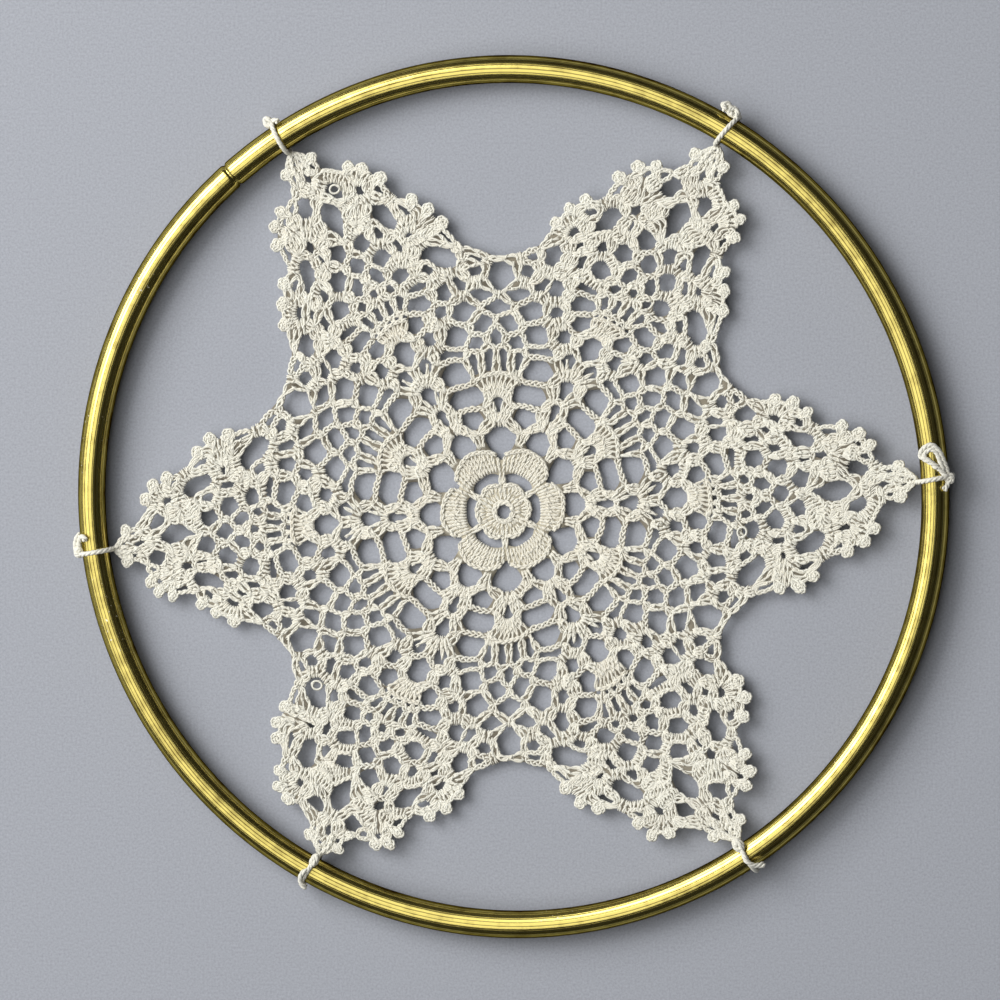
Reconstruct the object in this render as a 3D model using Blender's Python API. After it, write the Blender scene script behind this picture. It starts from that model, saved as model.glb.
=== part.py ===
"""Six-pointed crochet lace doily tied into a round brass hoop, lying on a table.

The hoop is one closed ring.  The doily is one flat sheet whose outline and holes follow
the crochet pattern: a sixth of it is charted in millimetres, turned six times about its
middle and then stretched, because each point of the lace was pulled to its own tie.
Each tie is one string wrapped once round the ring, with its knot and its short ends.
"""
import bisect
import math
from collections import namedtuple

import bmesh
import bpy
import numpy as np
from mathutils import Vector
from mathutils.geometry import delaunay_2d_cdt

MM = 0.001

# ---------------------------------------------------------------- driving dimensions, mm
HOOP_OUTSIDE = 254.0       # outer diameter of the ring
TUBE = 8.0                 # diameter of the ring's round section
CLEARANCE = 0.3            # gap kept between two pieces that touch
STRING_WIDE = 1.6          # string of the ties, a little flattened
STRING_THICK = 1.4
WRAP_SLACK = 0.15          # how loosely the string goes round the tube
LACE_THICK = 1.5           # thickness of the doily
LACE_LOW = 0.6             # height of its underside at the middle
LACE_HIGH = 4.6            # and at its points, where the ties hold it
LACE_MIDDLE = (-2.6, -4.3) # the doily's middle, measured from the ring's
LACE_TURN = 3.0            # direction of its first point, degrees from +X
POINTS = 6
CHART_TIP = 119.0          # where a point ends on the chart, from the middle
TIP_HALF = 1.0             # half the width that its tip is gathered to
UNEVEN = 0.16              # random shift of a hole's corners
HOOP_STEPS = 96            # facets of the ring, round it and round its section
HOOP_SIDES = 12
WRAP_STEPS = 20            # facets of a tie, round the tube and round its string
WRAP_SIDES = 8
TAIL_STEPS = 7
TAIL_SIDES = 6
KNOT_SIDES = 9
KNOT_STEPS = 6

TUBE_RADIUS = TUBE / 2
RING_RADIUS = HOOP_OUTSIDE / 2 - TUBE_RADIUS
WRAP_RADIUS = TUBE_RADIUS + CLEARANCE + STRING_THICK / 2 + WRAP_SLACK
RING_HEIGHT = STRING_THICK + CLEARANCE + TUBE_RADIUS
TIP_REACH = RING_RADIUS - WRAP_RADIUS - STRING_THICK / 2 - CLEARANCE

# ---------------------------------------------------------------- the chart, mm
# x runs across from the axis, y outwards from the middle.  An "arm" row is set out on
# the axis of a point, a "notch" row on the axis between two points.  A row away from
# its axis stands on both sides of it, unless its side column names one.
Hole = namedtuple("Hole", "axis x y wide tall lean shape side")
HOLES = [
    Hole("arm", 0.0, 8.9, 8.0, 3.9, 0, "crescent", "middle"),
    Hole("arm", 0.0, 21.5, 6.8, 5.4, 0, "barrel", "middle"),
    Hole("arm", 0.0, 30.4, 3.2, 5.0, 0, "drop", "middle"),
    Hole("arm", 0.0, 37.6, 4.9, 5.0, 0, "diamond", "middle"),
    Hole("arm", 0.0, 52.0, 5.2, 7.2, 0, "house", "middle"),
    Hole("arm", -0.3, 81.2, 4.2, 4.6, 0, "diamond", "middle"),
    Hole("arm", 0.0, 95.3, 5.4, 11.8, 0, "drop", "middle"),
    Hole("arm", 6.6, 25.9, 4.9, 4.6, -8, "block", "both"),
    Hole("arm", 8.6, 32.0, 9.8, 5.8, -15, "lens", "both"),
    Hole("arm", 3.5, 45.7, 3.2, 4.0, 8, "block", "both"),
    Hole("arm", 6.3, 57.5, 4.8, 4.4, -30, "block", "both"),
    Hole("arm", 9.9, 62.8, 6.4, 4.0, -25, "block", "both"),
    Hole("arm", -19.3, 63.2, 4.2, 4.0, 20, "barrel", "left"),
    Hole("arm", 18.0, 62.0, 3.8, 4.0, -20, "barrel", "right"),
    Hole("arm", -11.2, 73.2, 5.6, 5.4, 0, "diamond", "left"),
    Hole("arm", 9.5, 72.0, 4.8, 4.2, 0, "diamond", "right"),
    Hole("arm", 3.5, 76.2, 3.0, 4.5, 10, "slot", "both"),
    Hole("arm", -8.0, 80.4, 5.0, 5.2, -12, "diamond", "left"),
    Hole("arm", 7.4, 79.1, 5.8, 4.8, 12, "diamond", "right"),
    Hole("arm", -4.3, 86.9, 5.0, 5.0, 10, "diamond", "left"),
    Hole("arm", 4.0, 85.7, 4.7, 4.5, -10, "diamond", "right"),
    Hole("arm", -5.8, 103.4, 4.2, 5.6, -8, "block", "left"),
    Hole("arm", 5.2, 103.1, 3.8, 4.6, 12, "block", "right"),
    Hole("arm", -15.9, 87.0, 4.2, 8.2, -18, "slot", "left"),
    Hole("arm", 13.9, 89.0, 4.8, 8.0, 24, "slot", "right"),
    Hole("arm", -24.4, 70.8, 4.4, 5.2, 0, "slot", "left"),
    Hole("arm", 21.9, 71.8, 9.0, 5.0, -48, "block", "right"),
    Hole("notch", 0.0, 18.9, 7.9, 8.8, 0, "drop", "middle"),
    Hole("notch", 0.0, 30.2, 3.4, 4.8, 0, "drop", "middle"),
    Hole("notch", 0.0, 57.8, 6.2, 4.4, 0, "diamond", "middle"),
    Hole("notch", 0.0, 67.5, 7.3, 8.4, 0, "diamond", "middle"),
    Hole("notch", 11.2, 39.0, 8.6, 6.0, -4, "tent", "both"),
    Hole("notch", 2.0, 42.7, 2.2, 5.4, 3, "slot", "both"),
    Hole("notch", 10.9, 49.2, 5.8, 5.2, -10, "barrel", "both"),
    Hole("notch", 3.5, 52.9, 3.8, 5.0, 14, "block", "both"),
    Hole("notch", 9.2, 56.3, 6.4, 6.0, -10, "diamond", "both"),
    Hole("notch", 5.0, 61.6, 6.4, 3.6, 4, "wedge", "both"),
]

# Right half of each hole's shape from the bottom up, in halves of its size.
HALF_SHAPES = {
    "drop": ((0.0, -1.0), (0.65, -0.2), (1.0, 0.45), (0.5, 1.0)),
    "diamond": ((0.0, -1.0), (0.85, -0.25), (0.9, 0.35), (0.35, 1.0)),
    "barrel": ((0.72, -1.0), (1.0, 0.15), (0.5, 1.0)),
    "house": ((0.7, -1.0), (1.0, -0.2), (0.75, 0.7), (0.0, 1.0)),
    "block": ((0.85, -0.9), (1.0, 0.1), (0.6, 1.0)),
    "slot": ((0.45, -1.0), (1.0, 0.2), (0.4, 1.0)),
    "tent": ((0.0, -1.0), (1.0, -0.65), (0.6, 0.5), (0.15, 1.0)),
    "lens": ((0.45, -0.8), (1.0, -0.4), (0.65, 0.65), (0.0, 1.0)),
    "wedge": ((0.0, -1.0), (1.0, 0.35), (0.75, 1.0)),
    "crescent": ((0.0, -0.2), (0.3, -0.4), (0.57, -1.0), (1.0, -0.1), (0.8, 0.45),
                 (0.42, 0.85), (0.0, 1.0)),
}

CENTRE_HOLE = (2.0, 8)     # radius and corners of the ring of chains that it starts from

# Edge of half a point, from its tip down to the notch.  A row with a bead is a picot:
# x, y is then its middle and bead its radius.
Edge = namedtuple("Edge", "x y bead")
EDGES = [
    Edge(2.6, 118.2, 0.0),
    Edge(4.6, 115.3, 2.5),
    Edge(5.7, 110.8, 0.0),
    Edge(9.6, 107.3, 0.0),
    Edge(12.7, 107.3, 2.4),
    Edge(16.4, 104.5, 2.5),
    Edge(18.5, 99.2, 2.5),
    Edge(19.3, 95.0, 0.0),
    Edge(20.3, 91.4, 0.0),
    Edge(23.6, 89.2, 2.4),
    Edge(26.6, 84.9, 2.4),
    Edge(27.9, 79.4, 2.5),
    Edge(28.4, 74.6, 0.0),
    Edge(30.4, 70.2, 0.0),
    Edge(34.4, 66.4, 0.0),
]
PICOT_CORNERS = (160, 125, 90, 55, 20)  # of a bead, degrees from the edge's direction
NOTCH_EDGE = 73.2          # where the edge crosses the axis between two points

# How each point of the lace departs from the chart, at these distances from its middle:
# out is away from the middle, side is anticlockwise.
STATIONS = (0.0, 22.0, 38.0, 54.0, 66.0, 95.0, CHART_TIP)
Pull = namedtuple("Pull", "name out side")
PULLS = [
    Pull("right", (0.0, -0.5, -1.1, -1.4, -0.4, -0.1), (0.0, 1.3, 0.7, 1.9, 0.9, 1.6)),
    Pull("upper_right", (0.0, 0.9, 1.7, 1.8, 1.0, 2.0), (0.0, -0.3, -0.4, -1.9, -5.1, -7.7)),
    Pull("upper_left", (0.0, 0.9, 1.3, 2.2, 0.5, 1.2), (0.0, -0.2, 0.0, -0.9, -2.4, -4.9)),
    Pull("left", (0.0, -0.2, 1.0, 0.4, 1.0, 0.0), (0.0, -0.2, 0.3, 1.3, 1.6, 1.4)),
    Pull("lower_left", (0.0, -0.3, -0.1, 0.8, 0.0, -0.8), (0.0, -0.9, -0.5, -1.5, -2.8, -5.5)),
    Pull("lower_right", (0.0, -0.8, -2.7, -3.8, -2.1, -2.3), (0.0, 0.7, 0.6, 1.3, -1.1, 1.6)),
]

# How much further from its axis each side of a point reaches than the chart, where the
# chart's half width is SPREAD_HALF at the distances SPREAD_AT from the middle.
SPREAD_AT = (66.0, 79.0, 87.0, 99.0, 106.0, CHART_TIP)
SPREAD_HALF = (33.0, 30.4, 27.4, 21.0, 17.8, 17.0)
Spread = namedtuple("Spread", "name side low middle high top")
SPREADS = [
    Spread("right", "left", 0.0, 0.0, 0.0, -1.3),
    Spread("right", "right", -1.1, 1.4, -0.3, -0.6),
    Spread("upper_right", "left", 1.6, 1.9, 2.4, 0.2),
    Spread("upper_right", "right", -1.7, -5.2, -1.0, -0.3),
    Spread("upper_left", "left", -1.1, -2.9, -0.5, -1.8),
    Spread("upper_left", "right", -1.9, -1.4, -0.5, -1.3),
    Spread("left", "left", -0.9, -2.9, -0.5, -0.8),
    Spread("left", "right", -1.6, -0.9, -2.5, -0.8),
    Spread("lower_left", "left", 1.4, 2.1, 0.7, 2.2),
    Spread("lower_left", "right", 0.6, 1.6, 2.5, 3.2),
    Spread("lower_right", "left", 4.1, 3.6, 0.7, 0.2),
    Spread("lower_right", "right", 0.1, 1.1, -0.5, 1.7),
]

# Soft waves of the sheet: height, waves round the middle, turn from middle to tip, start.
Wave = namedtuple("Wave", "high around out start")
WAVES = [
    Wave(0.25, 3, 4.0, 0.6),
    Wave(0.15, 5, -7.0, 0.0),
]

# One tie to a point.  angle is its direction from the ring's middle, drift how far the
# string slants clockwise as it crosses the ring, and knot is the knot's place and size:
# clockwise across the string, out from the ring's centre line, and up from the table.
Tie = namedtuple("Tie", "name angle drift knot_across knot_out knot_height knot_size")
TIES = [
    Tie("right", 2.9, -1.5, 0.0, 4.6, 8.4, (3.4, 2.8, 2.6)),
    Tie("upper_right", 58.85, 1.8, -1.2, 5.6, 7.6, (4.8, 3.2, 3.0)),
    Tie("upper_left", 122.7, 0.8, -0.3, 5.4, 7.6, (3.0, 3.8, 3.0)),
    Tie("left", 187.6, -0.4, 0.6, 4.4, 8.6, (3.4, 2.8, 2.6)),
    Tie("lower_left", 241.3, 0.6, -0.2, -3.7, 10.1, (2.6, 4.2, 2.4)),
    Tie("lower_right", 303.9, 0.4, -0.1, -3.8, 10.2, (3.4, 4.4, 2.6)),
]

# Free ends, each a few points (across, out, height) that start inside the knot.
TAILS = {
    "right": [
        ((-0.6, 4.4, 8.6), (-3.0, 3.4, 8.9), (-6.2, 2.2, 10.1), (-8.6, 0.2, 10.9),
         (-7.8, -2.0, 10.4), (-5.6, -3.2, 9.6)),
        ((0.6, 4.4, 8.6), (2.0, 3.8, 8.8), (3.2, 2.9, 9.4)),
    ],
    "upper_right": [((-2.2, 5.8, 7.6), (-3.8, 6.2, 8.2), (-4.6, 7.0, 8.4))],
    "upper_left": [((0.2, 5.2, 7.8), (1.6, 4.9, 8.2), (2.6, 3.9, 8.8))],
    "left": [((1.6, 4.3, 8.6), (3.6, 3.8, 8.8), (5.0, 2.6, 9.8), (3.8, 1.3, 10.6))],
    "lower_left": [((-0.4, -0.9, 10.4), (0.9, 0.9, 11.6), (0.6, 3.4, 10.6), (-1.6, 5.0, 9.0))],
    "lower_right": [((0.0, -1.0, 10.4), (0.8, 1.0, 11.6), (0.4, 3.4, 10.6), (-1.9, 5.2, 9.0))],
}

# name: colour, roughness, metallic
MATERIALS = {
    "lace_cotton": ((0.78, 0.74, 0.64, 1.0), 0.9, 0.0),
    "polished_brass": ((0.72, 0.56, 0.20, 1.0), 0.25, 1.0),
    "tie_string": ((0.80, 0.77, 0.70, 1.0), 0.85, 0.0),
}


def clear_scene():
    for old in list(bpy.data.objects):
        bpy.data.objects.remove(old, do_unlink=True)


def make_material(name):
    colour, roughness, metallic = MATERIALS[name]
    material = bpy.data.materials.new(name)
    material.use_nodes = True
    shader = material.node_tree.nodes["Principled BSDF"]
    shader.inputs["Base Color"].default_value = colour
    shader.inputs["Roughness"].default_value = roughness
    shader.inputs["Metallic"].default_value = metallic
    return material


def add_object(name, bm, material):
    """Make an object from a bmesh, with its faces turned outwards."""
    bmesh.ops.recalc_face_normals(bm, faces=bm.faces)
    mesh = bpy.data.meshes.new(name)
    bm.to_mesh(mesh)
    bm.free()
    mesh.shade_smooth()
    mesh.set_sharp_from_angle(angle=math.radians(40))
    mesh.materials.append(material)
    obj = bpy.data.objects.new(name, mesh)
    bpy.context.scene.collection.objects.link(obj)
    return obj


# ---------------------------------------------------------------- the lace
def turned(points, degrees):
    """Points turned anticlockwise about the origin."""
    turn = math.radians(degrees)
    matrix = np.array([[math.cos(turn), -math.sin(turn)], [math.sin(turn), math.cos(turn)]])
    return np.asarray(points, dtype=float) @ matrix.T


def whole_shape(shape):
    """Outline of a hole: its right half, then the left half back down."""
    right = list(HALF_SHAPES[shape])
    left = [(-x, y) for x, y in reversed(right) if x > 0]
    return np.array(right + left)


def hole_outline(hole, mirror):
    """Corners of one hole beside its axis; mirror is -1 for the left copy."""
    corners = whole_shape(hole.shape) * (hole.wide / 2, hole.tall / 2)
    corners = turned(corners, hole.lean) + (hole.x, hole.y)
    return corners * (mirror, 1.0)


def to_lace(points, degrees):
    """Carry points from an upright chart to the lace, on the axis at this direction."""
    return turned(points, degrees - 90)


def axis_direction(axis, number):
    step = 360 / POINTS
    return LACE_TURN + step * number + (step / 2 if axis == "notch" else 0)


def all_holes():
    shake = np.random.default_rng(11)
    outlines = []
    for number in range(POINTS):
        for hole in HOLES:
            direction = axis_direction(hole.axis, number)
            for mirror in (1, -1) if hole.side == "both" else (1,):
                corners = to_lace(hole_outline(hole, mirror), direction)
                corners += shake.uniform(-UNEVEN, UNEVEN, corners.shape)
                outlines.append(stretched(corners))
    radius, count = CENTRE_HOLE
    around = np.arange(count) * 2 * math.pi / count
    outlines.append(radius * np.column_stack([np.cos(around), np.sin(around)]))
    return outlines


def half_edge():
    """Edge of half a point from tip to notch, with each picot as an arc of corners."""
    corners = []
    for index, edge in enumerate(EDGES):
        if not edge.bead:
            corners.append((edge.x, edge.y))
            continue
        before = EDGES[index - 1]
        after = EDGES[index + 1]
        along = math.atan2(after.y - before.y, after.x - before.x)
        for part in PICOT_CORNERS:
            angle = along + math.radians(part)
            corners.append((edge.x + edge.bead * math.cos(angle),
                            edge.y + edge.bead * math.sin(angle)))
    return corners


def lace_edge():
    right = half_edge()
    outline = []
    for number in range(POINTS):
        left_side = [(-x, y) for x, y in right]
        tip = [(TIP_HALF, CHART_TIP), (-TIP_HALF, CHART_TIP)]
        arm = list(reversed(right)) + tip + left_side
        outline.append(to_lace(arm, axis_direction("arm", number)))
        outline.append(to_lace([(0.0, NOTCH_EDGE)], axis_direction("notch", number)))
    return stretched(np.vstack(outline))


def tip_pull(number):
    """Last step of a point: from the chart's tip to the tie that holds it."""
    tie = math.radians(TIES[number].angle)
    place = TIP_REACH * np.array([math.cos(tie), math.sin(tie)]) - LACE_MIDDLE
    direction = math.radians(axis_direction("arm", number))
    outwards = np.array([math.cos(direction), math.sin(direction)])
    sideways = np.array([-outwards[1], outwards[0]])
    return place @ outwards - CHART_TIP, place @ sideways


def spread(name, across, out):
    """How far a point of the star is wider here than the chart, away from its axis."""
    wider = np.zeros(len(out))
    for row in SPREADS:
        if row.name == name:
            steps = (0.0, row.low, row.middle, row.high, row.top, 0.0)
            side = across > 0 if row.side == "right" else across < 0
            wider[side] = np.interp(out[side], SPREAD_AT, steps)
    return wider * across / np.interp(out, SPREAD_AT, SPREAD_HALF)


def stretched(points):
    """Pull chart points to where the ties hold the lace.

    Each point of the star moves out and aside by its own amounts along its length, and
    widens by its own amounts on each side.  Between two points the two pulls are shared
    by the squared cosine of the angle.
    """
    points = np.asarray(points, dtype=float)
    reach = np.hypot(points[:, 0], points[:, 1])
    angle = np.degrees(np.arctan2(points[:, 1], points[:, 0]))
    moved = points.copy()
    for number, pull in enumerate(PULLS):
        direction = axis_direction("arm", number)
        apart = np.abs((angle - direction + 180) % 360 - 180)
        share = np.where(apart < 60, np.cos(np.radians(1.5 * apart)) ** 2, 0.0)
        turn = math.radians(direction)
        outwards = np.array([math.cos(turn), math.sin(turn)])
        sideways = np.array([-outwards[1], outwards[0]])
        tip_out, tip_side = tip_pull(number)
        out = np.interp(reach, STATIONS, pull.out + (tip_out,))
        side = np.interp(reach, STATIONS, pull.side + (tip_side,))
        side -= spread(pull.name, -points @ sideways, points @ outwards)
        moved += (share * out)[:, None] * outwards + (share * side)[:, None] * sideways
    return moved


def lace_height(x, y):
    """Height of the sheet's underside: low in the middle, raised to the ties, rippled.

    It rises by the square of the distance from the middle; each wave is a sine of the
    angle and the distance, and all of them die away at the middle and at the ties.
    """
    reach = np.clip(np.hypot(x, y) / CHART_TIP, 0, 1)
    around = np.arctan2(y, x)
    waves = sum(wave.high * np.sin(wave.around * around + wave.out * reach + wave.start)
                for wave in WAVES)
    return LACE_LOW + (LACE_HIGH - LACE_LOW) * reach ** 2 + waves * np.sin(math.pi * reach)


def inside(point, outline):
    """Whether a point lies inside a closed outline, by counting crossings."""
    x, y = point
    x0, y0 = outline[:, 0], outline[:, 1]
    x1, y1 = np.roll(x0, -1), np.roll(y0, -1)
    spans = (y0 > y) != (y1 > y)
    with np.errstate(divide="ignore", invalid="ignore"):
        cross = x0 + (y - y0) * (x1 - x0) / (y1 - y0)
    return np.count_nonzero(spans & (x < cross)) % 2 == 1


def make_doily(material):
    """One sheet: the star's outline less its holes, cut into triangles and thickened."""
    loops = [lace_edge()] + all_holes()
    starts = np.cumsum([0] + [len(loop) for loop in loops]).tolist()
    points = np.vstack(loops)
    edges = []
    for start, loop in zip(starts, loops):
        count = len(loop)
        edges += [(start + i, start + (i + 1) % count) for i in range(count)]
    flat, _, faces, origins, _, _ = delaunay_2d_cdt(
        [Vector(point) for point in points], edges, [], 1, 1e-6)
    owner = [bisect.bisect_right(starts, origin[0]) - 1 for origin in origins]

    bm = bmesh.new()
    middle_x, middle_y = LACE_MIDDLE
    corners = [bm.verts.new(((p.x + middle_x) * MM, (p.y + middle_y) * MM,
                             lace_height(p.x, p.y) * MM)) for p in flat]
    for face in faces:
        owners = {owner[i] for i in face}
        loop = owners.pop()
        centre = sum((flat[i] for i in face), Vector((0, 0))) / 3
        if not owners and loop > 0 and inside(centre, loops[loop]):
            continue
        bm.faces.new([corners[i] for i in face])
    sheet = bmesh.ops.extrude_face_region(bm, geom=bm.faces[:])
    top = [item for item in sheet["geom"] if isinstance(item, bmesh.types.BMVert)]
    bmesh.ops.translate(bm, verts=top, vec=(0, 0, LACE_THICK * MM))
    return add_object("doily", bm, material)


# ---------------------------------------------------------------- the ring and its ties
def make_hoop(material):
    """The ring: a round section spun about the upright axis."""
    bm = bmesh.new()
    section = bmesh.ops.create_circle(bm, segments=HOOP_SIDES, radius=TUBE_RADIUS * MM)
    place = Vector((RING_RADIUS * MM, 0, RING_HEIGHT * MM))
    for vert in section["verts"]:
        vert.co = place + Vector((vert.co.x, 0, vert.co.y))
    bmesh.ops.spin(bm, geom=bm.verts[:] + bm.edges[:], cent=(0, 0, 0), axis=(0, 0, 1),
                   angle=2 * math.pi, steps=HOOP_STEPS, use_merge=True)
    bmesh.ops.remove_doubles(bm, verts=bm.verts, dist=1e-6)
    return add_object("hoop", bm, material)


def sweep(path, ups, sides):
    """The string along a path: its flattened section carried from point to point."""
    bm = bmesh.new()
    path = np.asarray(path, dtype=float)
    along = np.gradient(path, axis=0)
    along /= np.linalg.norm(along, axis=1)[:, None]
    ups = ups / np.linalg.norm(ups, axis=1)[:, None]
    across = np.cross(along, ups)
    across /= np.linalg.norm(across, axis=1)[:, None]
    half_step = math.pi / sides
    angles = half_step + np.arange(sides) * 2 * half_step
    reach = 1 / math.cos(half_step)
    rings = []
    for point, right, up in zip(path, across, ups):
        ring = [point + reach * (right * STRING_WIDE / 2 * math.cos(a)
                                 + up * STRING_THICK / 2 * math.sin(a)) for a in angles]
        rings.append([bm.verts.new(tuple(corner * MM)) for corner in ring])
    for here, there in zip(rings, rings[1:]):
        for i in range(sides):
            j = (i + 1) % sides
            bm.faces.new((here[i], here[j], there[j], there[i]))
    bm.faces.new(reversed(rings[0]))
    bm.faces.new(rings[-1])
    return bm


def tie_place(tie, points):
    """Carry (across, out, height) points beside the ring to the tie's direction."""
    points = np.asarray(points, dtype=float)
    turn = math.radians(tie.angle)
    outwards = np.array([math.cos(turn), math.sin(turn), 0])
    clockwise = np.array([math.sin(turn), -math.cos(turn), 0])
    upright = np.array([0, 0, 1.0])
    return (points[:, :1] * clockwise + (points[:, 1:2] + RING_RADIUS) * outwards
            + points[:, 2:] * upright)


def wrap_path(tie):
    """Once round the tube, flat where the ring stands on it.

    The turn runs from the inner side (0) over the top (90) to the outside (180) and back
    below.  Its two ends lie a step apart inside the knot.
    """
    step = 2 * math.pi / WRAP_STEPS
    knot_turn = math.atan2(tie.knot_height - RING_HEIGHT, -tie.knot_out)
    turns = step * (round(knot_turn / step) + 0.5 + np.arange(WRAP_STEPS))
    out = -WRAP_RADIUS * np.cos(turns)
    height = RING_HEIGHT + WRAP_RADIUS * np.sin(turns)
    height = np.maximum(height, STRING_THICK / 2)
    across = tie.drift * out / (2 * WRAP_RADIUS)
    path = tie_place(tie, np.column_stack([across, out, height]))
    normals = np.column_stack([0 * out, out, height - RING_HEIGHT])
    flat_run = height <= STRING_THICK / 2
    normals[flat_run] = (0, 0, -1)
    ups = tie_place(tie, normals) - tie_place(tie, np.zeros((1, 3)))
    return path, ups


def make_knot(tie):
    bm = bmesh.new()
    bmesh.ops.create_uvsphere(bm, u_segments=KNOT_SIDES, v_segments=KNOT_STEPS, radius=0.5)
    size = Vector(tie.knot_size)
    corners = [(v.co.x * size.x + tie.knot_across, v.co.y * size.y + tie.knot_out,
                v.co.z * size.z + tie.knot_height) for v in bm.verts]
    for vert, place in zip(bm.verts, tie_place(tie, corners)):
        vert.co = Vector(place) * MM
    return bm


def smooth_route(points):
    """A curve through a route's own points, read off at equal steps.

    Between two of its points it is a cubic whose slope at each is half the way from the
    point before to the point after.
    """
    points = np.asarray(points, dtype=float)
    padded = np.vstack([2 * points[0] - points[1], points, 2 * points[-1] - points[-2]])
    places = np.linspace(0, len(points) - 1, TAIL_STEPS)
    route = []
    for place in places:
        i = min(int(place), len(points) - 2)
        t = place - i
        a, b, c, d = padded[i:i + 4]
        route.append(0.5 * (2 * b + (c - a) * t + (2 * a - 5 * b + 4 * c - d) * t ** 2
                            + (3 * b - a - 3 * c + d) * t ** 3))
    return np.array(route)


def join(target, others):
    """Unite closed pieces with the first one, and keep only that object."""
    for other in others:
        union = target.modifiers.new("union_" + other.name, "BOOLEAN")
        union.operation = "UNION"
        union.object = other
    bpy.context.view_layer.update()
    evaluated = target.evaluated_get(bpy.context.evaluated_depsgraph_get())
    fused = bpy.data.meshes.new_from_object(evaluated)
    target.modifiers.clear()
    target.data = fused
    for other in others:
        bpy.data.objects.remove(other, do_unlink=True)


def make_tie(tie, material):
    path, ups = wrap_path(tie)
    wrap = add_object("tie_" + tie.name, sweep(path, ups, WRAP_SIDES), material)
    others = [add_object("knot", make_knot(tie), material)]
    for tail in TAILS[tie.name]:
        route = tie_place(tie, smooth_route(tail))
        ups = np.tile((0, 0, 1.0), (len(route), 1))
        others.append(add_object("tail", sweep(route, ups, TAIL_SIDES), material))
    join(wrap, others)
    return wrap


def build():
    clear_scene()
    cotton = make_material("lace_cotton")
    brass = make_material("polished_brass")
    string = make_material("tie_string")
    make_doily(cotton)
    make_hoop(brass)
    for tie in TIES:
        make_tie(tie, string)


build()
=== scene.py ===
import math
from collections import namedtuple

import bpy
import numpy as np
from mathutils import Matrix, Vector
from mathutils.geometry import delaunay_2d_cdt


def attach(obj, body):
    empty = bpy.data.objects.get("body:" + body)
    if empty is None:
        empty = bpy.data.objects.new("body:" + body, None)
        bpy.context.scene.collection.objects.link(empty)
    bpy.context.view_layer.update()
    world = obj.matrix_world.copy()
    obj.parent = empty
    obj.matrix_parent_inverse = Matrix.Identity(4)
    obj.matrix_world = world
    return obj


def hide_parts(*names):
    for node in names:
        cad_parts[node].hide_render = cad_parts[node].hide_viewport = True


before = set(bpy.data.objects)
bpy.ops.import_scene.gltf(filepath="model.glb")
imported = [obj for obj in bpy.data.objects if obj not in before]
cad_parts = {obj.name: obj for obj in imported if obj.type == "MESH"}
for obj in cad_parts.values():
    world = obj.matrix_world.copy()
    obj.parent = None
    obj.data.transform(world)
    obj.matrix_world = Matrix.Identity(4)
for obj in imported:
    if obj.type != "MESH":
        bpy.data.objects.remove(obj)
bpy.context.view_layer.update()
mm = 0.001
tau = 2 * math.pi


# A piece of mesh: points in millimetres, faces as lists of one size each, and where a thread
# runs, its own (length, turn) coordinates at each face's corners and a tint for each point.
def makePiece(name, points, faces, material, coordinates=None, tint=None):
    mesh = bpy.data.meshes.new(name)
    points = np.asarray(points, dtype=np.float32) * mm
    corners = np.concatenate([np.ravel(same) for same in faces]).astype(np.int32)
    sizes = np.concatenate([np.full(len(same), len(same[0])) for same in faces])
    mesh.vertices.add(len(points))
    mesh.vertices.foreach_set("co", points.ravel())
    mesh.loops.add(len(corners))
    mesh.loops.foreach_set("vertex_index", corners)
    mesh.polygons.add(len(sizes))
    mesh.polygons.foreach_set("loop_start", (np.cumsum(sizes) - sizes).astype(np.int32))
    if coordinates is not None:
        layer = mesh.uv_layers.new(name="thread")
        layer.uv.foreach_set("vector", np.asarray(coordinates, dtype=np.float32).ravel())
    if tint is not None:
        mesh.attributes.new("tint", "FLOAT", "POINT").data.foreach_set(
            "value", np.asarray(tint, dtype=np.float32))
    mesh.polygons.foreach_set("use_smooth", np.ones(len(sizes), dtype=bool))
    mesh.update(calc_edges=True)
    mesh.validate()
    mesh.materials.append(material)
    piece = bpy.data.objects.new(name, mesh)
    bpy.context.scene.collection.objects.link(piece)
    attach(piece, "root")
    return piece


# One output socket with arithmetic: an expression on wires adds Math nodes.
class Wire:
    def __init__(self, paint, socket):
        self.paint = paint
        self.socket = socket

    # Any operation of a Math node on its values in order.
    def sum(self, operation, *others):
        node = self.paint.node("ShaderNodeMath", {"operation": operation})
        for place, value in enumerate(others):
            self.paint.feed(node.inputs[place], value)
        return Wire(self.paint, node.outputs[0])

    def __add__(self, other):
        return self.sum("ADD", self, other)

    def __sub__(self, other):
        return self.sum("SUBTRACT", self, other)

    def __rsub__(self, other):
        return self.sum("SUBTRACT", other, self)

    def __mul__(self, other):
        return self.sum("MULTIPLY", self, other)

    __radd__ = __add__
    __rmul__ = __mul__

    # The sine of the value in radians.
    def sine(self):
        return self.sum("SINE", self)

    # Nought below low, one above high, and straight between them.
    def between(self, low, high):
        node = self.paint.node("ShaderNodeMapRange", {"clamp": True},
                               {"Value": self, "From Min": low, "From Max": high})
        return Wire(self.paint, node.outputs[0])


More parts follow.
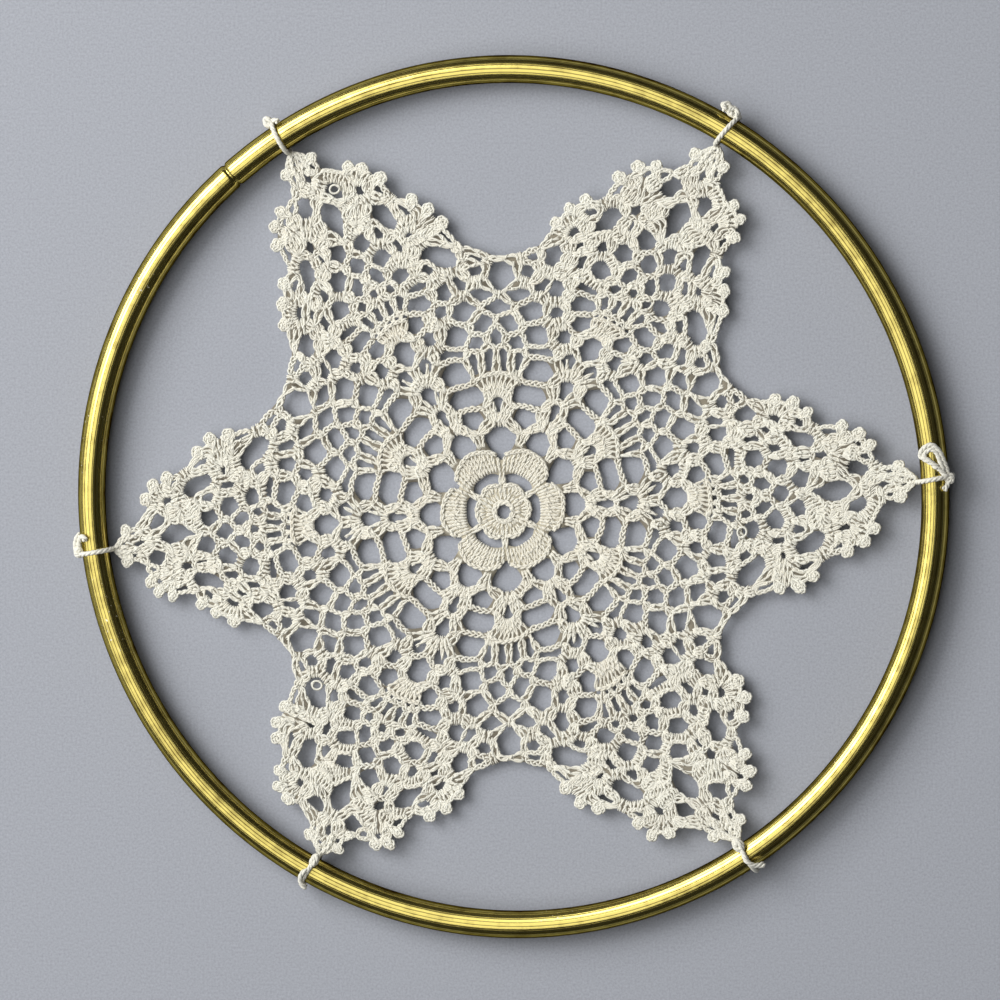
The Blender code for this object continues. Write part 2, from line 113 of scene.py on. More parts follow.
# A material under construction; node() adds any node, with its settings set first.
class Paint:
    def __init__(self, name):
        self.material = bpy.data.materials.new(name)
        self.material.use_nodes = True
        self.tree = self.material.node_tree
        self.shader = self.tree.nodes["Principled BSDF"]

    # A link where the value is a wire, and a fixed value otherwise.
    def feed(self, socket, value):
        if isinstance(value, Wire):
            self.tree.links.new(value.socket, socket)
        else:
            socket.default_value = value

    # A node of a type, with its settings and then its sockets' values or links.
    def node(self, kind, settings=None, inputs=None):
        node = self.tree.nodes.new(kind)
        for key, value in (settings or {}).items():
            setattr(node, key, value)
        for key, value in (inputs or {}).items():
            self.feed(node.inputs[key], value)
        return node

    # One output of a node, for arithmetic.
    def wire(self, node, output=0):
        return Wire(self, node.outputs[output])

    # Two colours, from the first at nought to the second at one.
    def mix(self, factor, first, second):
        node = self.node("ShaderNodeMix", {"data_type": "RGBA"})
        self.feed(node.inputs[0], factor)
        self.feed(node.inputs[6], first)
        self.feed(node.inputs[7], second)
        return Wire(self, node.outputs[2])

    # A soft cloud from nought to one.
    def noise(self, vector, scale, detail=2.0, roughness=0.5):
        return self.wire(self.node("ShaderNodeTexNoise", None, {
            "Vector": vector, "Scale": scale, "Detail": detail, "Roughness": roughness}))

    # The surface tilted by the slope of a height.
    def bump(self, height, strength, distance):
        node = self.node("ShaderNodeBump", None, {
            "Height": height, "Strength": strength, "Distance": distance})
        self.feed(self.shader.inputs["Normal"], Wire(self, node.outputs[0]))

    # Sockets of the shader by name, with _ for a space.
    def set(self, **values):
        for key, value in values.items():
            self.feed(self.shader.inputs[key.replace("_", " ")], value)


# A colour with no transparency.
def rgb(red, green, blue):
    return (red, green, blue, 1.0)


cottonFinish = {
    "pale": rgb(0.88, 0.875, 0.785),
    "deep": rgb(0.74, 0.68, 0.55),
    "plyTurnsPerMm": 1.6,
    "plyDepth": 0.00004,
    "cloudScale": 90.0, "fuzzScale": 2600.0,
    "roughness": 0.88, "shine": 0.25,
    "sheen": 0.25, "sheenSpread": 0.6,
}


# Cotton: pale and deep cream mixed by the stitch's tint and a soft cloud, with the plies of
# the thread as a slanting sine wave in its own length and turn, their grooves painted shade.
def makeCotton(name, finish):
    paint = Paint(name)
    place = paint.node("ShaderNodeUVMap", {"uv_map": "thread"})
    split = paint.node("ShaderNodeSeparateXYZ", None, {"Vector": paint.wire(place)})
    along, turn = paint.wire(split, 0), paint.wire(split, 1)
    ply = (along * (tau * finish["plyTurnsPerMm"]) + turn * (2 * tau)).sine() * 0.5 + 0.5
    spot = paint.wire(paint.node("ShaderNodeTexCoord"), 3)
    cloud = paint.noise(spot, finish["cloudScale"], 3.0)
    fuzz = paint.noise(spot, finish["fuzzScale"], 2.0)
    tint = paint.wire(paint.node("ShaderNodeAttribute", {"attribute_name": "tint"}), 2)
    # Painted shade: where the ply wave is low, in the grooves, the colour goes towards the deep
    # cream.
    toneAndGrooveShade = (tint * 0.75 + cloud * 0.35 + (1 - ply) * 0.22 - 0.12).between(0.0, 1.0)
    paint.set(Base_Color=paint.mix(toneAndGrooveShade, finish["pale"], finish["deep"]),
              Roughness=finish["roughness"])
    paint.shader.inputs["Specular IOR Level"].default_value = finish["shine"]
    paint.shader.inputs["Sheen Weight"].default_value = finish["sheen"]
    paint.shader.inputs["Sheen Roughness"].default_value = finish["sheenSpread"]
    paint.bump(ply * 0.7 + fuzz * 0.6, 0.7, finish["plyDepth"])
    return paint.material


cotton = makeCotton("crochetCotton", cottonFinish)

# The lace lies on the same chart as its solid, in millimetres: x across a point's axis or
# the axis of a notch between two points, y outwards from the middle.
lace = {
    "points": 6,
    "middle": (-2.6, -4.3),       # of the lace, from the ring's
    "turn": 3.0,                  # direction of the first point, degrees
    "tip": 119.0,                 # where a point ends
    "reach": 116.85,              # where the ties hold it, from the ring's middle
    "low": 0.6, "high": 4.6,      # height of its underside at the middle and the points
    "thick": 1.5,
    "notchEdge": 73.2,
    "unevenMm": 0.22,             # random shift of a gap's corners
    "smoothStep": 0.8,            # spacing of the points round a gap
}
laceOffset = np.array(lace["middle"] + (0.0,))
Gap = namedtuple("Gap", "axis x y wide tall lean shape side")
gaps = [
    Gap("arm", 0.0, 8.9, 8.0, 3.9, 0, "crescent", "middle"),
    Gap("arm", 0.0, 21.5, 6.8, 5.4, 0, "barrel", "middle"),
    Gap("arm", 0.0, 30.4, 3.2, 5.0, 0, "drop", "middle"),
    Gap("arm", 0.0, 37.6, 4.9, 5.0, 0, "diamond", "middle"),
    Gap("arm", 0.0, 52.0, 5.2, 7.2, 0, "house", "middle"),
    Gap("arm", -0.3, 81.2, 4.2, 4.6, 0, "diamond", "middle"),
    Gap("arm", 0.0, 95.3, 5.4, 11.8, 0, "drop", "middle"),
    Gap("arm", 6.6, 25.9, 4.9, 4.6, -8, "block", "both"),
    Gap("arm", 8.6, 32.0, 9.8, 5.8, -15, "lens", "both"),
    Gap("arm", 3.5, 45.7, 3.2, 4.0, 8, "block", "both"),
    Gap("arm", 6.3, 57.5, 4.8, 4.4, -30, "block", "both"),
    Gap("arm", 9.9, 62.8, 6.4, 4.0, -25, "block", "both"),
    Gap("arm", -19.3, 63.2, 4.2, 4.0, 20, "barrel", "left"),
    Gap("arm", 18.0, 62.0, 3.8, 4.0, -20, "barrel", "right"),
    Gap("arm", -11.2, 73.2, 5.6, 5.4, 0, "diamond", "left"),
    Gap("arm", 9.5, 72.0, 4.8, 4.2, 0, "diamond", "right"),
    Gap("arm", 3.5, 76.2, 3.0, 4.5, 10, "slot", "both"),
    Gap("arm", -8.0, 80.4, 5.0, 5.2, -12, "diamond", "left"),
    Gap("arm", 7.4, 79.1, 5.8, 4.8, 12, "diamond", "right"),
    Gap("arm", -4.3, 86.9, 5.0, 5.0, 10, "diamond", "left"),
    Gap("arm", 4.0, 85.7, 4.7, 4.5, -10, "diamond", "right"),
    Gap("arm", -5.8, 103.4, 4.2, 5.6, -8, "block", "left"),
    Gap("arm", 5.2, 103.1, 3.8, 4.6, 12, "block", "right"),
    Gap("arm", -15.9, 87.0, 4.2, 8.2, -18, "slot", "left"),
    Gap("arm", 13.9, 89.0, 4.8, 8.0, 24, "slot", "right"),
    Gap("arm", -24.4, 70.8, 4.4, 5.2, 0, "slot", "left"),
    Gap("arm", 21.9, 71.8, 9.0, 5.0, -48, "block", "right"),
    Gap("notch", 0.0, 18.9, 7.9, 8.8, 0, "drop", "middle"),
    Gap("notch", 0.0, 30.2, 3.4, 4.8, 0, "drop", "middle"),
    Gap("notch", 0.0, 57.8, 6.2, 4.4, 0, "diamond", "middle"),
    Gap("notch", 0.0, 67.5, 7.3, 8.4, 0, "diamond", "middle"),
    Gap("notch", 11.2, 39.0, 8.6, 6.0, -4, "tent", "both"),
    Gap("notch", 2.0, 42.7, 2.2, 5.4, 3, "slot", "both"),
    Gap("notch", 10.9, 49.2, 5.8, 5.2, -10, "barrel", "both"),
    Gap("notch", 3.5, 52.9, 3.8, 5.0, 14, "block", "both"),
    Gap("notch", 9.2, 56.3, 6.4, 6.0, -10, "diamond", "both"),
    Gap("notch", 5.0, 61.6, 6.4, 3.6, 4, "wedge", "both"),
    # the smaller gaps, which the solid leaves closed
    Gap("notch", 0.0, 49.1, 2.3, 4.3, 0, "slot", "middle"),
    Gap("notch", 5.5, 47.4, 3.2, 3.3, 0, "block", "both"),
    Gap("notch", 12.3, 44.3, 6.2, 1.7, -8, "block", "both"),
    Gap("notch", 6.0, 41.8, 2.0, 5.0, -8, "slot", "both"),
    Gap("notch", 7.0, 69.3, 3.6, 2.4, -15, "block", "both"),
    Gap("notch", 15.7, 56.6, 3.0, 2.8, 20, "block", "both"),
    Gap("arm", 8.3, 51.3, 3.0, 3.4, -15, "block", "both"),
    Gap("arm", 22.8, 62.2, 2.5, 4.6, 20, "slot", "both"),
    Gap("arm", 11.8, 67.3, 5.4, 1.3, 0, "block", "both"),
    Gap("arm", 5.2, 70.9, 2.2, 2.5, 0, "drop", "both"),
    Gap("arm", 0.0, 72.2, 1.6, 2.4, 0, "drop", "middle"),
    Gap("arm", 1.8, 66.4, 1.7, 4.0, 0, "slot", "both"),
    Gap("arm", 5.4, 66.3, 1.8, 3.4, -15, "slot", "both"),
    Gap("arm", 0.0, 62.3, 1.0, 1.0, 0, "diamond", "middle"),
    Gap("arm", 2.4, 62.0, 1.0, 1.0, 0, "diamond", "both"),
    Gap("arm", 4.7, 61.1, 1.0, 1.0, 0, "diamond", "both"),
    Gap("arm", 13.5, 79.9, 2.0, 3.0, 10, "slot", "both"),
    Gap("arm", -16.7, 73.4, 1.9, 3.6, 0, "slot", "left"),
    Gap("arm", 17.2, 70.4, 2.5, 3.2, 15, "slot", "right"),
    Gap("arm", -10.8, 93.0, 1.4, 2.8, -15, "slot", "left"),
    Gap("arm", 9.9, 86.2, 2.3, 3.2, 10, "slot", "right"),
    Gap("arm", -9.6, 88.8, 1.0, 2.8, 0, "slot", "left"),
    Gap("arm", -22.3, 79.5, 1.8, 2.6, -20, "slot", "left"),
    Gap("arm", -19.4, 77.0, 1.4, 2.2, 0, "slot", "left"),
    Gap("arm", -20.6, 86.9, 3.0, 2.0, 25, "block", "left"),
    Gap("arm", -17.4, 95.5, 1.1, 4.6, -10, "slot", "left"),
    Gap("arm", -13.4, 103.9, 1.4, 1.8, 0, "slot", "left"),
    Gap("arm", -8.9, 105.9, 2.0, 2.6, -35, "slot", "left"),
    Gap("arm", 20.0, 88.0, 1.3, 4.4, 25, "slot", "right"),
    Gap("arm", 27.0, 75.6, 1.3, 4.4, 15, "slot", "right"),
    Gap("arm", 16.3, 97.2, 1.2, 4.4, 4, "slot", "right"),
    Gap("arm", 11.2, 99.2, 1.7, 2.6, 15, "slot", "right"),
    Gap("arm", 17.6, 80.9, 1.8, 1.4, 0, "block", "right"),
    Gap("arm", 30.2, 66.6, 1.4, 3.0, 35, "slot", "right"),
    Gap("arm", -29.2, 68.0, 3.0, 1.2, 40, "block", "left"),
    Gap("arm", 0.0, 110.2, 1.4, 3.0, 0, "drop", "middle"),
    Gap("arm", 3.3, 113.4, 1.4, 3.0, 0, "slot", "both"),
    Gap("arm", 1.2, 116.6, 0.8, 1.6, 0, "slot", "both"),
]
# Right half of each gap's shape from the bottom up, in halves of its size.
halfShapes = {
    "drop": ((0.0, -1.0), (0.65, -0.2), (1.0, 0.45), (0.5, 1.0)),
    "diamond": ((0.0, -1.0), (0.85, -0.25), (0.9, 0.35), (0.35, 1.0)),
    "barrel": ((0.72, -1.0), (1.0, 0.15), (0.5, 1.0)),
    "house": ((0.7, -1.0), (1.0, -0.2), (0.75, 0.7), (0.0, 1.0)),
    "block": ((0.85, -0.9), (1.0, 0.1), (0.6, 1.0)),
    "slot": ((0.45, -1.0), (1.0, 0.2), (0.4, 1.0)),
    "tent": ((0.0, -1.0), (1.0, -0.65), (0.6, 0.5), (0.15, 1.0)),
    "lens": ((0.45, -0.8), (1.0, -0.4), (0.65, 0.65), (0.0, 1.0)),
    "wedge": ((0.0, -1.0), (1.0, 0.35), (0.75, 1.0)),
    "crescent": ((0.0, -0.2), (0.3, -0.4), (0.57, -1.0), (1.0, -0.1), (0.8, 0.45),
                 (0.42, 0.85), (0.0, 1.0)),
}
# Edge of half a point from its tip to the notch; bead is over nought where a picot stands.
Edge = namedtuple("Edge", "x y bead")
edges = [
    Edge(2.6, 118.2, 0.0),
    Edge(4.6, 115.3, 2.5),
    Edge(5.7, 110.8, 0.0),
    Edge(9.6, 107.3, 0.0),
    Edge(12.7, 107.3, 2.4),
    Edge(16.4, 104.5, 2.5),
    Edge(18.5, 99.2, 2.5),
    Edge(19.3, 95.0, 0.0),
    Edge(20.3, 91.4, 0.0),
    Edge(23.6, 89.2, 2.4),
    Edge(26.6, 84.9, 2.4),
    Edge(27.9, 79.4, 2.5),
    Edge(28.4, 74.6, 0.0),
    Edge(30.4, 70.2, 0.0),
    Edge(34.4, 66.4, 0.0),
]
# How far each point is pulled out and aside (anticlockwise) at these distances.
stations = (0.0, 22.0, 38.0, 54.0, 66.0, 95.0, 119.0)
Pull = namedtuple("Pull", "name tieAngle out side")
pulls = [
    Pull("right", 2.9, (0.0, -0.5, -1.1, -1.4, -0.4, -0.1), (0.0, 1.3, 0.7, 1.9, 0.9, 1.6)),
    Pull("upper_right", 58.85, (0.0, 0.9, 1.7, 1.8, 1.0, 2.0),
         (0.0, -0.3, -0.4, -1.9, -5.1, -7.7)),
    Pull("upper_left", 122.7, (0.0, 0.9, 1.3, 2.2, 0.5, 1.2),
         (0.0, -0.2, 0.0, -0.9, -2.4, -4.9)),
    Pull("left", 187.6, (0.0, -0.2, 1.0, 0.4, 1.0, 0.0), (0.0, -0.2, 0.3, 1.3, 1.6, 1.4)),
    Pull("lower_left", 241.3, (0.0, -0.3, -0.1, 0.8, 0.0, -0.8),
         (0.0, -0.9, -0.5, -1.5, -2.8, -5.5)),
    Pull("lower_right", 303.9, (0.0, -0.8, -2.7, -3.8, -2.1, -2.3),
         (0.0, 0.7, 0.6, 1.3, -1.1, 1.6)),
]
# How much wider than the chart each side of a point is at these distances.
spreadAt = (66.0, 79.0, 87.0, 99.0, 106.0, 119.0)
spreadHalf = (33.0, 30.4, 27.4, 21.0, 17.8, 17.0)
Spread = namedtuple("Spread", "name side low middle high top")
spreads = [
    Spread("right", "left", 0.0, 0.0, 0.0, -1.3),
    Spread("right", "right", -1.1, 1.4, -0.3, -0.6),
    Spread("upper_right", "left", 1.6, 1.9, 2.4, 0.2),
    Spread("upper_right", "right", -1.7, -5.2, -1.0, -0.3),
    Spread("upper_left", "left", -1.1, -2.9, -0.5, -1.8),
    Spread("upper_left", "right", -1.9, -1.4, -0.5, -1.3),
    Spread("left", "left", -0.9, -2.9, -0.5, -0.8),
    Spread("left", "right", -1.6, -0.9, -2.5, -0.8),
    Spread("lower_left", "left", 1.4, 2.1, 0.7, 2.2),
    Spread("lower_left", "right", 0.6, 1.6, 2.5, 3.2),
    Spread("lower_right", "left", 4.1, 3.6, 0.7, 0.2),
    Spread("lower_right", "right", 0.1, 1.1, -0.5, 1.7),
]
# Soft waves of the sheet: height, waves round the middle, turn from middle to tip, start.
Wave = namedtuple("Wave", "high around out start")
waves = [Wave(0.25, 3, 4.0, 0.6), Wave(0.15, 5, -7.0, 0.0)]


# A unit vector at an angle in degrees from the x axis, anticlockwise.
def compass(degrees):
    return np.array([math.cos(math.radians(degrees)), math.sin(math.radians(degrees))])


# Direction of a point's axis in degrees, or of the notch half a point further round.
def axisDirection(axis, number):
    return lace["turn"] + 60 * number + (30 if axis == "notch" else 0)


# Chart to lace: x along the direction less a right angle, y along the direction.
def toLace(points, degrees):
    points = np.asarray(points, dtype=float)
    return points[:, :1] * compass(degrees - 90) + points[:, 1:2] * compass(degrees)


# How far aside a place moves as its point is wider or narrower than the chart: the row's
# value at its distance, times its share of the point's half width there.
def spreadOf(name, across, out):
    wider = np.zeros(len(out))
    for row in spreads:
        if row.name == name:
            steps = (0.0, row.low, row.middle, row.high, row.top, 0.0)
            side = across > 0 if row.side == "right" else across < 0
            wider[side] = np.interp(out[side], spreadAt, steps)
    return wider * across / np.interp(out, spreadAt, spreadHalf)


# Chart points pulled to the ties: each point of the star moves by its own amounts, shared
# between neighbours by the squared cosine of one and a half times the angle from its axis.
def stretched(points):
    points = np.asarray(points, dtype=float)
    reach = np.hypot(points[:, 0], points[:, 1])
    angle = np.degrees(np.arctan2(points[:, 1], points[:, 0]))
    moved = points.copy()
    for number, pull in enumerate(pulls):
        direction = axisDirection("arm", number)
        apart = np.abs((angle - direction + 180) % 360 - 180)
        share = np.where(apart < 60, np.cos(np.radians(1.5 * apart)) ** 2, 0.0)
        outwards, sideways = compass(direction), compass(direction + 90)
        held = lace["reach"] * compass(pull.tieAngle) - lace["middle"]
        tipOut, tipSide = held @ outwards - lace["tip"], held @ sideways
        out = np.interp(reach, stations, pull.out + (tipOut,))
        side = np.interp(reach, stations, pull.side + (tipSide,))
        side -= spreadOf(pull.name, -points @ sideways, points @ outwards)
        moved += (share * out)[:, None] * outwards + (share * side)[:, None] * sideways
    return moved


# Height of the middle of the lace's thickness: it rises by the square of the distance from
# the middle, plus sine waves of angle and distance that die away at both ends.
def laceHeight(x, y):
    reach = np.clip(np.hypot(x, y) / lace["tip"], 0, 1)
    around = np.arctan2(y, x)
    ripple = sum(w.high * np.sin(w.around * around + w.out * reach + w.start) for w in waves)
    rise = lace["low"] + (lace["high"] - lace["low"]) * reach ** 2
    return rise + ripple * np.sin(math.pi * reach) + lace["thick"] / 2


# Lengths along a flat path from its start: the running sum of its steps.
def lengthsAlong(path):
    return np.concatenate([[0], np.cumsum(np.hypot(*np.diff(path, axis=0).T))])


# A flat path, or any pair of values along it, read off at some lengths.
def readOff(places, length, path):
    return np.column_stack([np.interp(places, length, path[:, i]) for i in (0, 1)])


# A closed outline with its corners cut to quarters twice, then read off at equal steps.
def smoothLoop(corners, step, rounds=2):
    for _ in range(rounds):
        following = np.roll(corners, -1, axis=0)
        corners = np.stack([0.75 * corners + 0.25 * following,
                            0.25 * corners + 0.75 * following], axis=1).reshape(-1, 2)
    closed = np.vstack([corners, corners[:1]])
    length = lengthsAlong(closed)
    count = max(6, int(round(length[-1] / step)))
    places = np.arange(count) * length[-1] / count
    return readOff(places, length, closed)


# Outline of one gap beside its axis: right half and mirrored left half of its shape, sized,
# leaned and grown by what cutting the corners takes away.
def gapOutline(gap, mirror, shake, grow):
    right = np.array(halfShapes[gap.shape])
    left = right[::-1] * (-1, 1)
    shape = np.vstack([right, left[left[:, 0] < 0]])
    size = np.array([gap.wide, gap.tall]) / 2
    corners = shape * (size * 1.1 + grow)
    corners += shake.uniform(-1, 1, corners.shape) * np.minimum(lace["unevenMm"], 0.12 * size)
    lean = math.radians(gap.lean)
    turned = corners @ np.array([[math.cos(lean), math.sin(lean)],
                                 [-math.sin(lean), math.cos(lean)]])
    return (turned + (gap.x, gap.y)) * (mirror, 1)


# Every outline of the lace: the edge first, then the gaps, each by its closed points.
def laceOutlines(grow, inset=0.0):
    shake = np.random.default_rng(11)
    half = np.array([(edge.x - inset, edge.y - inset) for edge in edges])
    arm = np.vstack([half[::-1], [(1.0, lace["tip"] - inset), (-1.0, lace["tip"] - inset)],
                     half * (-1, 1)])
    rim = []
    for number in range(lace["points"]):
        rim.append(toLace(arm, axisDirection("arm", number)))
        rim.append(toLace([(0.0, lace["notchEdge"] - inset)], axisDirection("notch", number)))
    outlines = [stretched(smoothLoop(np.vstack(rim), lace["smoothStep"], 1))]
    for number in range(lace["points"]):
        for gap in gaps:
            direction = axisDirection(gap.axis, number)
            for mirror in (1, -1) if gap.side == "both" else (1,):
                corners = gapOutline(gap, mirror, shake, grow)
                loop = smoothLoop(corners, lace["smoothStep"])
                outlines.append(stretched(toLace(loop, direction)))
    around = np.arange(16) * tau / 16
    ring = (2.1 + grow) * np.column_stack([np.cos(around), np.sin(around)])
    return outlines + [ring]


# Which places are inside a closed outline: those from which a ray crosses it an odd number
# of times.
def within(places, outline):
    inside = np.zeros(len(places), dtype=bool)
    near = np.nonzero(np.all((places > outline.min(axis=0)) & (places < outline.max(axis=0)),
                             axis=1))[0]
    x, y = places[near, :1], places[near, 1:]
    x0, y0 = outline.T
    x1, y1 = np.roll(outline, -1, axis=0).T
    spans = (y0 > y) != (y1 > y)
    level = np.where(y1 == y0, 1.0, y1 - y0)
    crossed = spans & (x < x0 + (y - y0) * (x1 - x0) / level)
    inside[near] = crossed.sum(axis=1) % 2 == 1
    return inside


# The outlines cut into triangles, with the number of the outline that each corner is on.
def triangulated(outlines):
    starts = np.cumsum([0] + [len(outline) for outline in outlines])
    points = np.vstack(outlines)
    numbers = np.arange(len(points))
    owner = np.repeat(np.arange(len(outlines)), np.diff(starts))
    following = np.where(numbers + 1 == starts[owner + 1], starts[owner], numbers + 1)
    flat, _, faces, origins, _, _ = delaunay_2d_cdt(
        [Vector(point) for point in points], list(zip(numbers.tolist(), following.tolist())),
        [], 1, 1e-6)
    flat = np.array([tuple(point) for point in flat])
    first = np.array([origin[0] if origin else -1 for origin in origins])
    for lost in np.nonzero(first < 0)[0]:          # where two outlines cross
        apart = np.hypot(*(flat - flat[lost]).T) + 1e9 * (first < 0)
        first[lost] = first[np.argmin(apart)]
    return flat, np.array(faces), owner[first]


# The bands of lace between gaps.  A triangle with corners on two outlines is a step of a
# band, one with three is where bands meet; each band is walked from meeting to meeting and
# kept as its two sides, point by point, and the two places where it meets others.
def laceBands(outlines):
    flat, faces, owner = triangulated(outlines)
    owners = owner[faces]
    kept = ~(owners == owners[:, :1]).all(axis=1)
    faces, owners = faces[kept], owners[kept]
    crossings, edgesOf = {}, [[] for _ in faces]
    for number, (corners, sides) in enumerate(zip(faces.tolist(), owners.tolist())):
        for i, j in ((0, 1), (1, 2), (2, 0)):
            if sides[i] != sides[j]:
                key = (min(corners[i], corners[j]), max(corners[i], corners[j]))
                crossings.setdefault(key, []).append(number)
                edgesOf[number].append(key)
    meeting = np.array([len(set(sides)) == 3 for sides in owners.tolist()])
    centres = flat[faces].mean(axis=1)
    bands, done = [], set()
    for start in np.nonzero(meeting)[0]:
        for first in edgesOf[start]:
            if (start, first) in done:
                continue
            route, edge, here, end = [first], first, start, None
            while True:
                beyond = [t for t in crossings[edge] if t != here]
                if not beyond:
                    break
                here = beyond[0]
                if meeting[here]:
                    end = here
                    break
                onward = [key for key in edgesOf[here] if key != edge]
                if not onward or onward[0] == first:
                    break
                edge = onward[0]
                route.append(edge)
            done.add((start, first))
            if end is None:
                continue
            done.add((end, route[-1]))
            side = owner[first[0]]
            left = [a if owner[a] == side else b for a, b in route]
            right = [b if owner[a] == side else a for a, b in route]
            bands.append((flat[left], flat[right], centres[start], centres[end],
                          {int(side), int(owner[right[0]])}))
    return bands


# Both sides of a band read off at equal steps of its middle line and smoothed by thirds.
# At either end it runs on a little past the middle of the meeting, and narrows to its share.
def evenBand(left, right, first, last, step, past, shares):
    ends = []
    for centre, a, b, share in ((first, left[0], right[0], shares[0]),
                                (last, left[-1], right[-1], shares[1])):
        middle = (a + b) / 2
        beyond = middle + (centre - middle) * past
        ends.append((beyond + (a - middle) * share, beyond + (b - middle) * share))
    left = np.vstack([ends[0][0], left, ends[1][0]])
    right = np.vstack([ends[0][1], right, ends[1][1]])
    middle = (left + right) / 2
    length = lengthsAlong(middle)
    count = max(4, int(math.ceil(length[-1] / step)) + 1)
    places = np.linspace(0, length[-1], count)
    sides = []
    for side in (left, right):
        even = readOff(places, length, side)
        for _ in range(3):
            even[1:-1] = (even[:-2] + even[1:-1] + even[2:]) / 3
        sides.append(even)
    return sides[0], sides[1], length[-1]


stitches = {
    "threadRadius": 0.34,
    "postWide": 1.20,          # room that one post takes across its band
    "postTwist": 7.0,          # length of one turn of its two strands
    "postOpen": 0.30,          # how far each strand stands off the post's line
    "postHigh": 0.13,
    "wrapFrom": 3.4,           # a post longer than this shows the thread wrapped round it
    "chainTwist": 5.3,         # length of one whole swing of its three strands
    "chainOpen": 0.52,
    "chainHigh": 0.24,
    "chainUpTo": 2.3,          # a band narrower than this is a chain or one post
    "pointFrom": 72.0,         # beyond this distance posts stand along the point
    "shares": (0.3, 0.8),      # how wide posts stay at their feet and at their heads
    "gapsIn": 0.2,             # how much the threads narrow a gap on every side
    "step": 0.65,
    "sides": 4,
    "uneven": 0.07,            # how far a thread strays
    "rimAcross": 4.4,          # a band on the rim wider than this has posts across it
    "rimPosts": 2.6,           # and one wider than this has posts along it
    "acrossFrom": 3.3,         # the same for a band within the lace
    "postsUpTo": 12.0,
    "upright": 0.55,           # how far a band runs the way that posts stand
    "uprightOne": 0.85,        # and a narrow one, to be a single post
    "middleTo": 21.0,          # distance up to which threads belong to the middle
    "bandsFrom": 18.0,         # and from which bands are worked
    "tintAt": (0, 20, 45, 120), "tints": (0.45, 0.5, 0.3, 0.2),
}
chance = np.random.default_rng(7)


# Threads are kept as (points, tint) and turned into tubes all together.
class Skein:
    def __init__(self):
        self.paths = []
        self.tints = []

    # A post: two strands lying side by side that change places once or twice, each the
    # post's line plus a flattened circle, and the wrap that slants across them.
    def post(self, path, tint, opening=None, lift=0.0, foot=1.0, twist=None):
        path = np.asarray(path, dtype=float)
        length, across = along(path)
        opening = opening or stitches["postOpen"]
        opening = opening * np.interp(length / length[-1], (0, 0.5), (foot, 1))
        start = chance.uniform(-0.5, 0.5)
        stray = stitches["uneven"] * np.sin(length * chance.uniform(0.5, 1.1)
                                            + chance.uniform(0, tau))
        for strand in range(2):
            phase = tau * length / (twist or stitches["postTwist"]) + start + strand * tau / 2
            aside = opening * np.cos(phase) + stray
            self.keep(path + across * aside[:, None], stitches["postHigh"] * np.sin(phase)
                      + lift, tint)
        if length[-1] > stitches["wrapFrom"]:
            spot = chance.uniform(0.35, 0.6) * length[-1]
            places = spot + np.linspace(-0.55, 0.55, 5)
            aside = np.linspace(-0.5, 0.5, 5) * chance.choice((-1, 1))
            wrap = readOff(places, length, path)
            side = readOff(places, length, across)
            high = np.array([-0.05, 0.22, 0.34, 0.22, -0.05])
            self.keep(wrap + side * aside[:, None], high + lift, tint)

    # A chain: three strands plaited, swinging across once while they rise and fall twice.
    def chain(self, path, tint, opening=None, lift=0.0):
        path = np.asarray(path, dtype=float)
        length, across = along(path)
        start = chance.uniform(0, tau)
        swing = stitches["chainOpen"] if opening is None else opening
        swing = swing * (1 + 0.13 * np.sin(length * chance.uniform(0.8, 1.6)
                                           + chance.uniform(0, tau)))
        stray = 0.12 * np.sin(length * chance.uniform(0.5, 1.0) + chance.uniform(0, tau))
        for strand in range(3):
            phase = tau * length / stitches["chainTwist"] + start + strand * tau / 3
            aside = swing * np.sin(phase) + stray
            high = stitches["chainHigh"] * np.sin(2 * phase)
            self.keep(path + across * aside[:, None], high + lift, tint)

    # A strand laid at the lace's height plus its own, its tint a little off by chance.
    def keep(self, flat, high, tint):
        x, y = flat[:, 0], flat[:, 1]
        self.paths.append(np.column_stack([x, y, laceHeight(x, y) + high]) + laceOffset)
        self.tints.append(np.clip(tint + chance.normal(0, 0.10), 0, 1))


# Lengths along a flat path from its start, and the unit vectors across it.
def along(path):
    steps = np.gradient(path, axis=0)
    steps /= np.maximum(np.hypot(steps[:, 0], steps[:, 1]), 1e-9)[:, None]
    return lengthsAlong(path), np.column_stack([-steps[:, 1], steps[:, 0]])


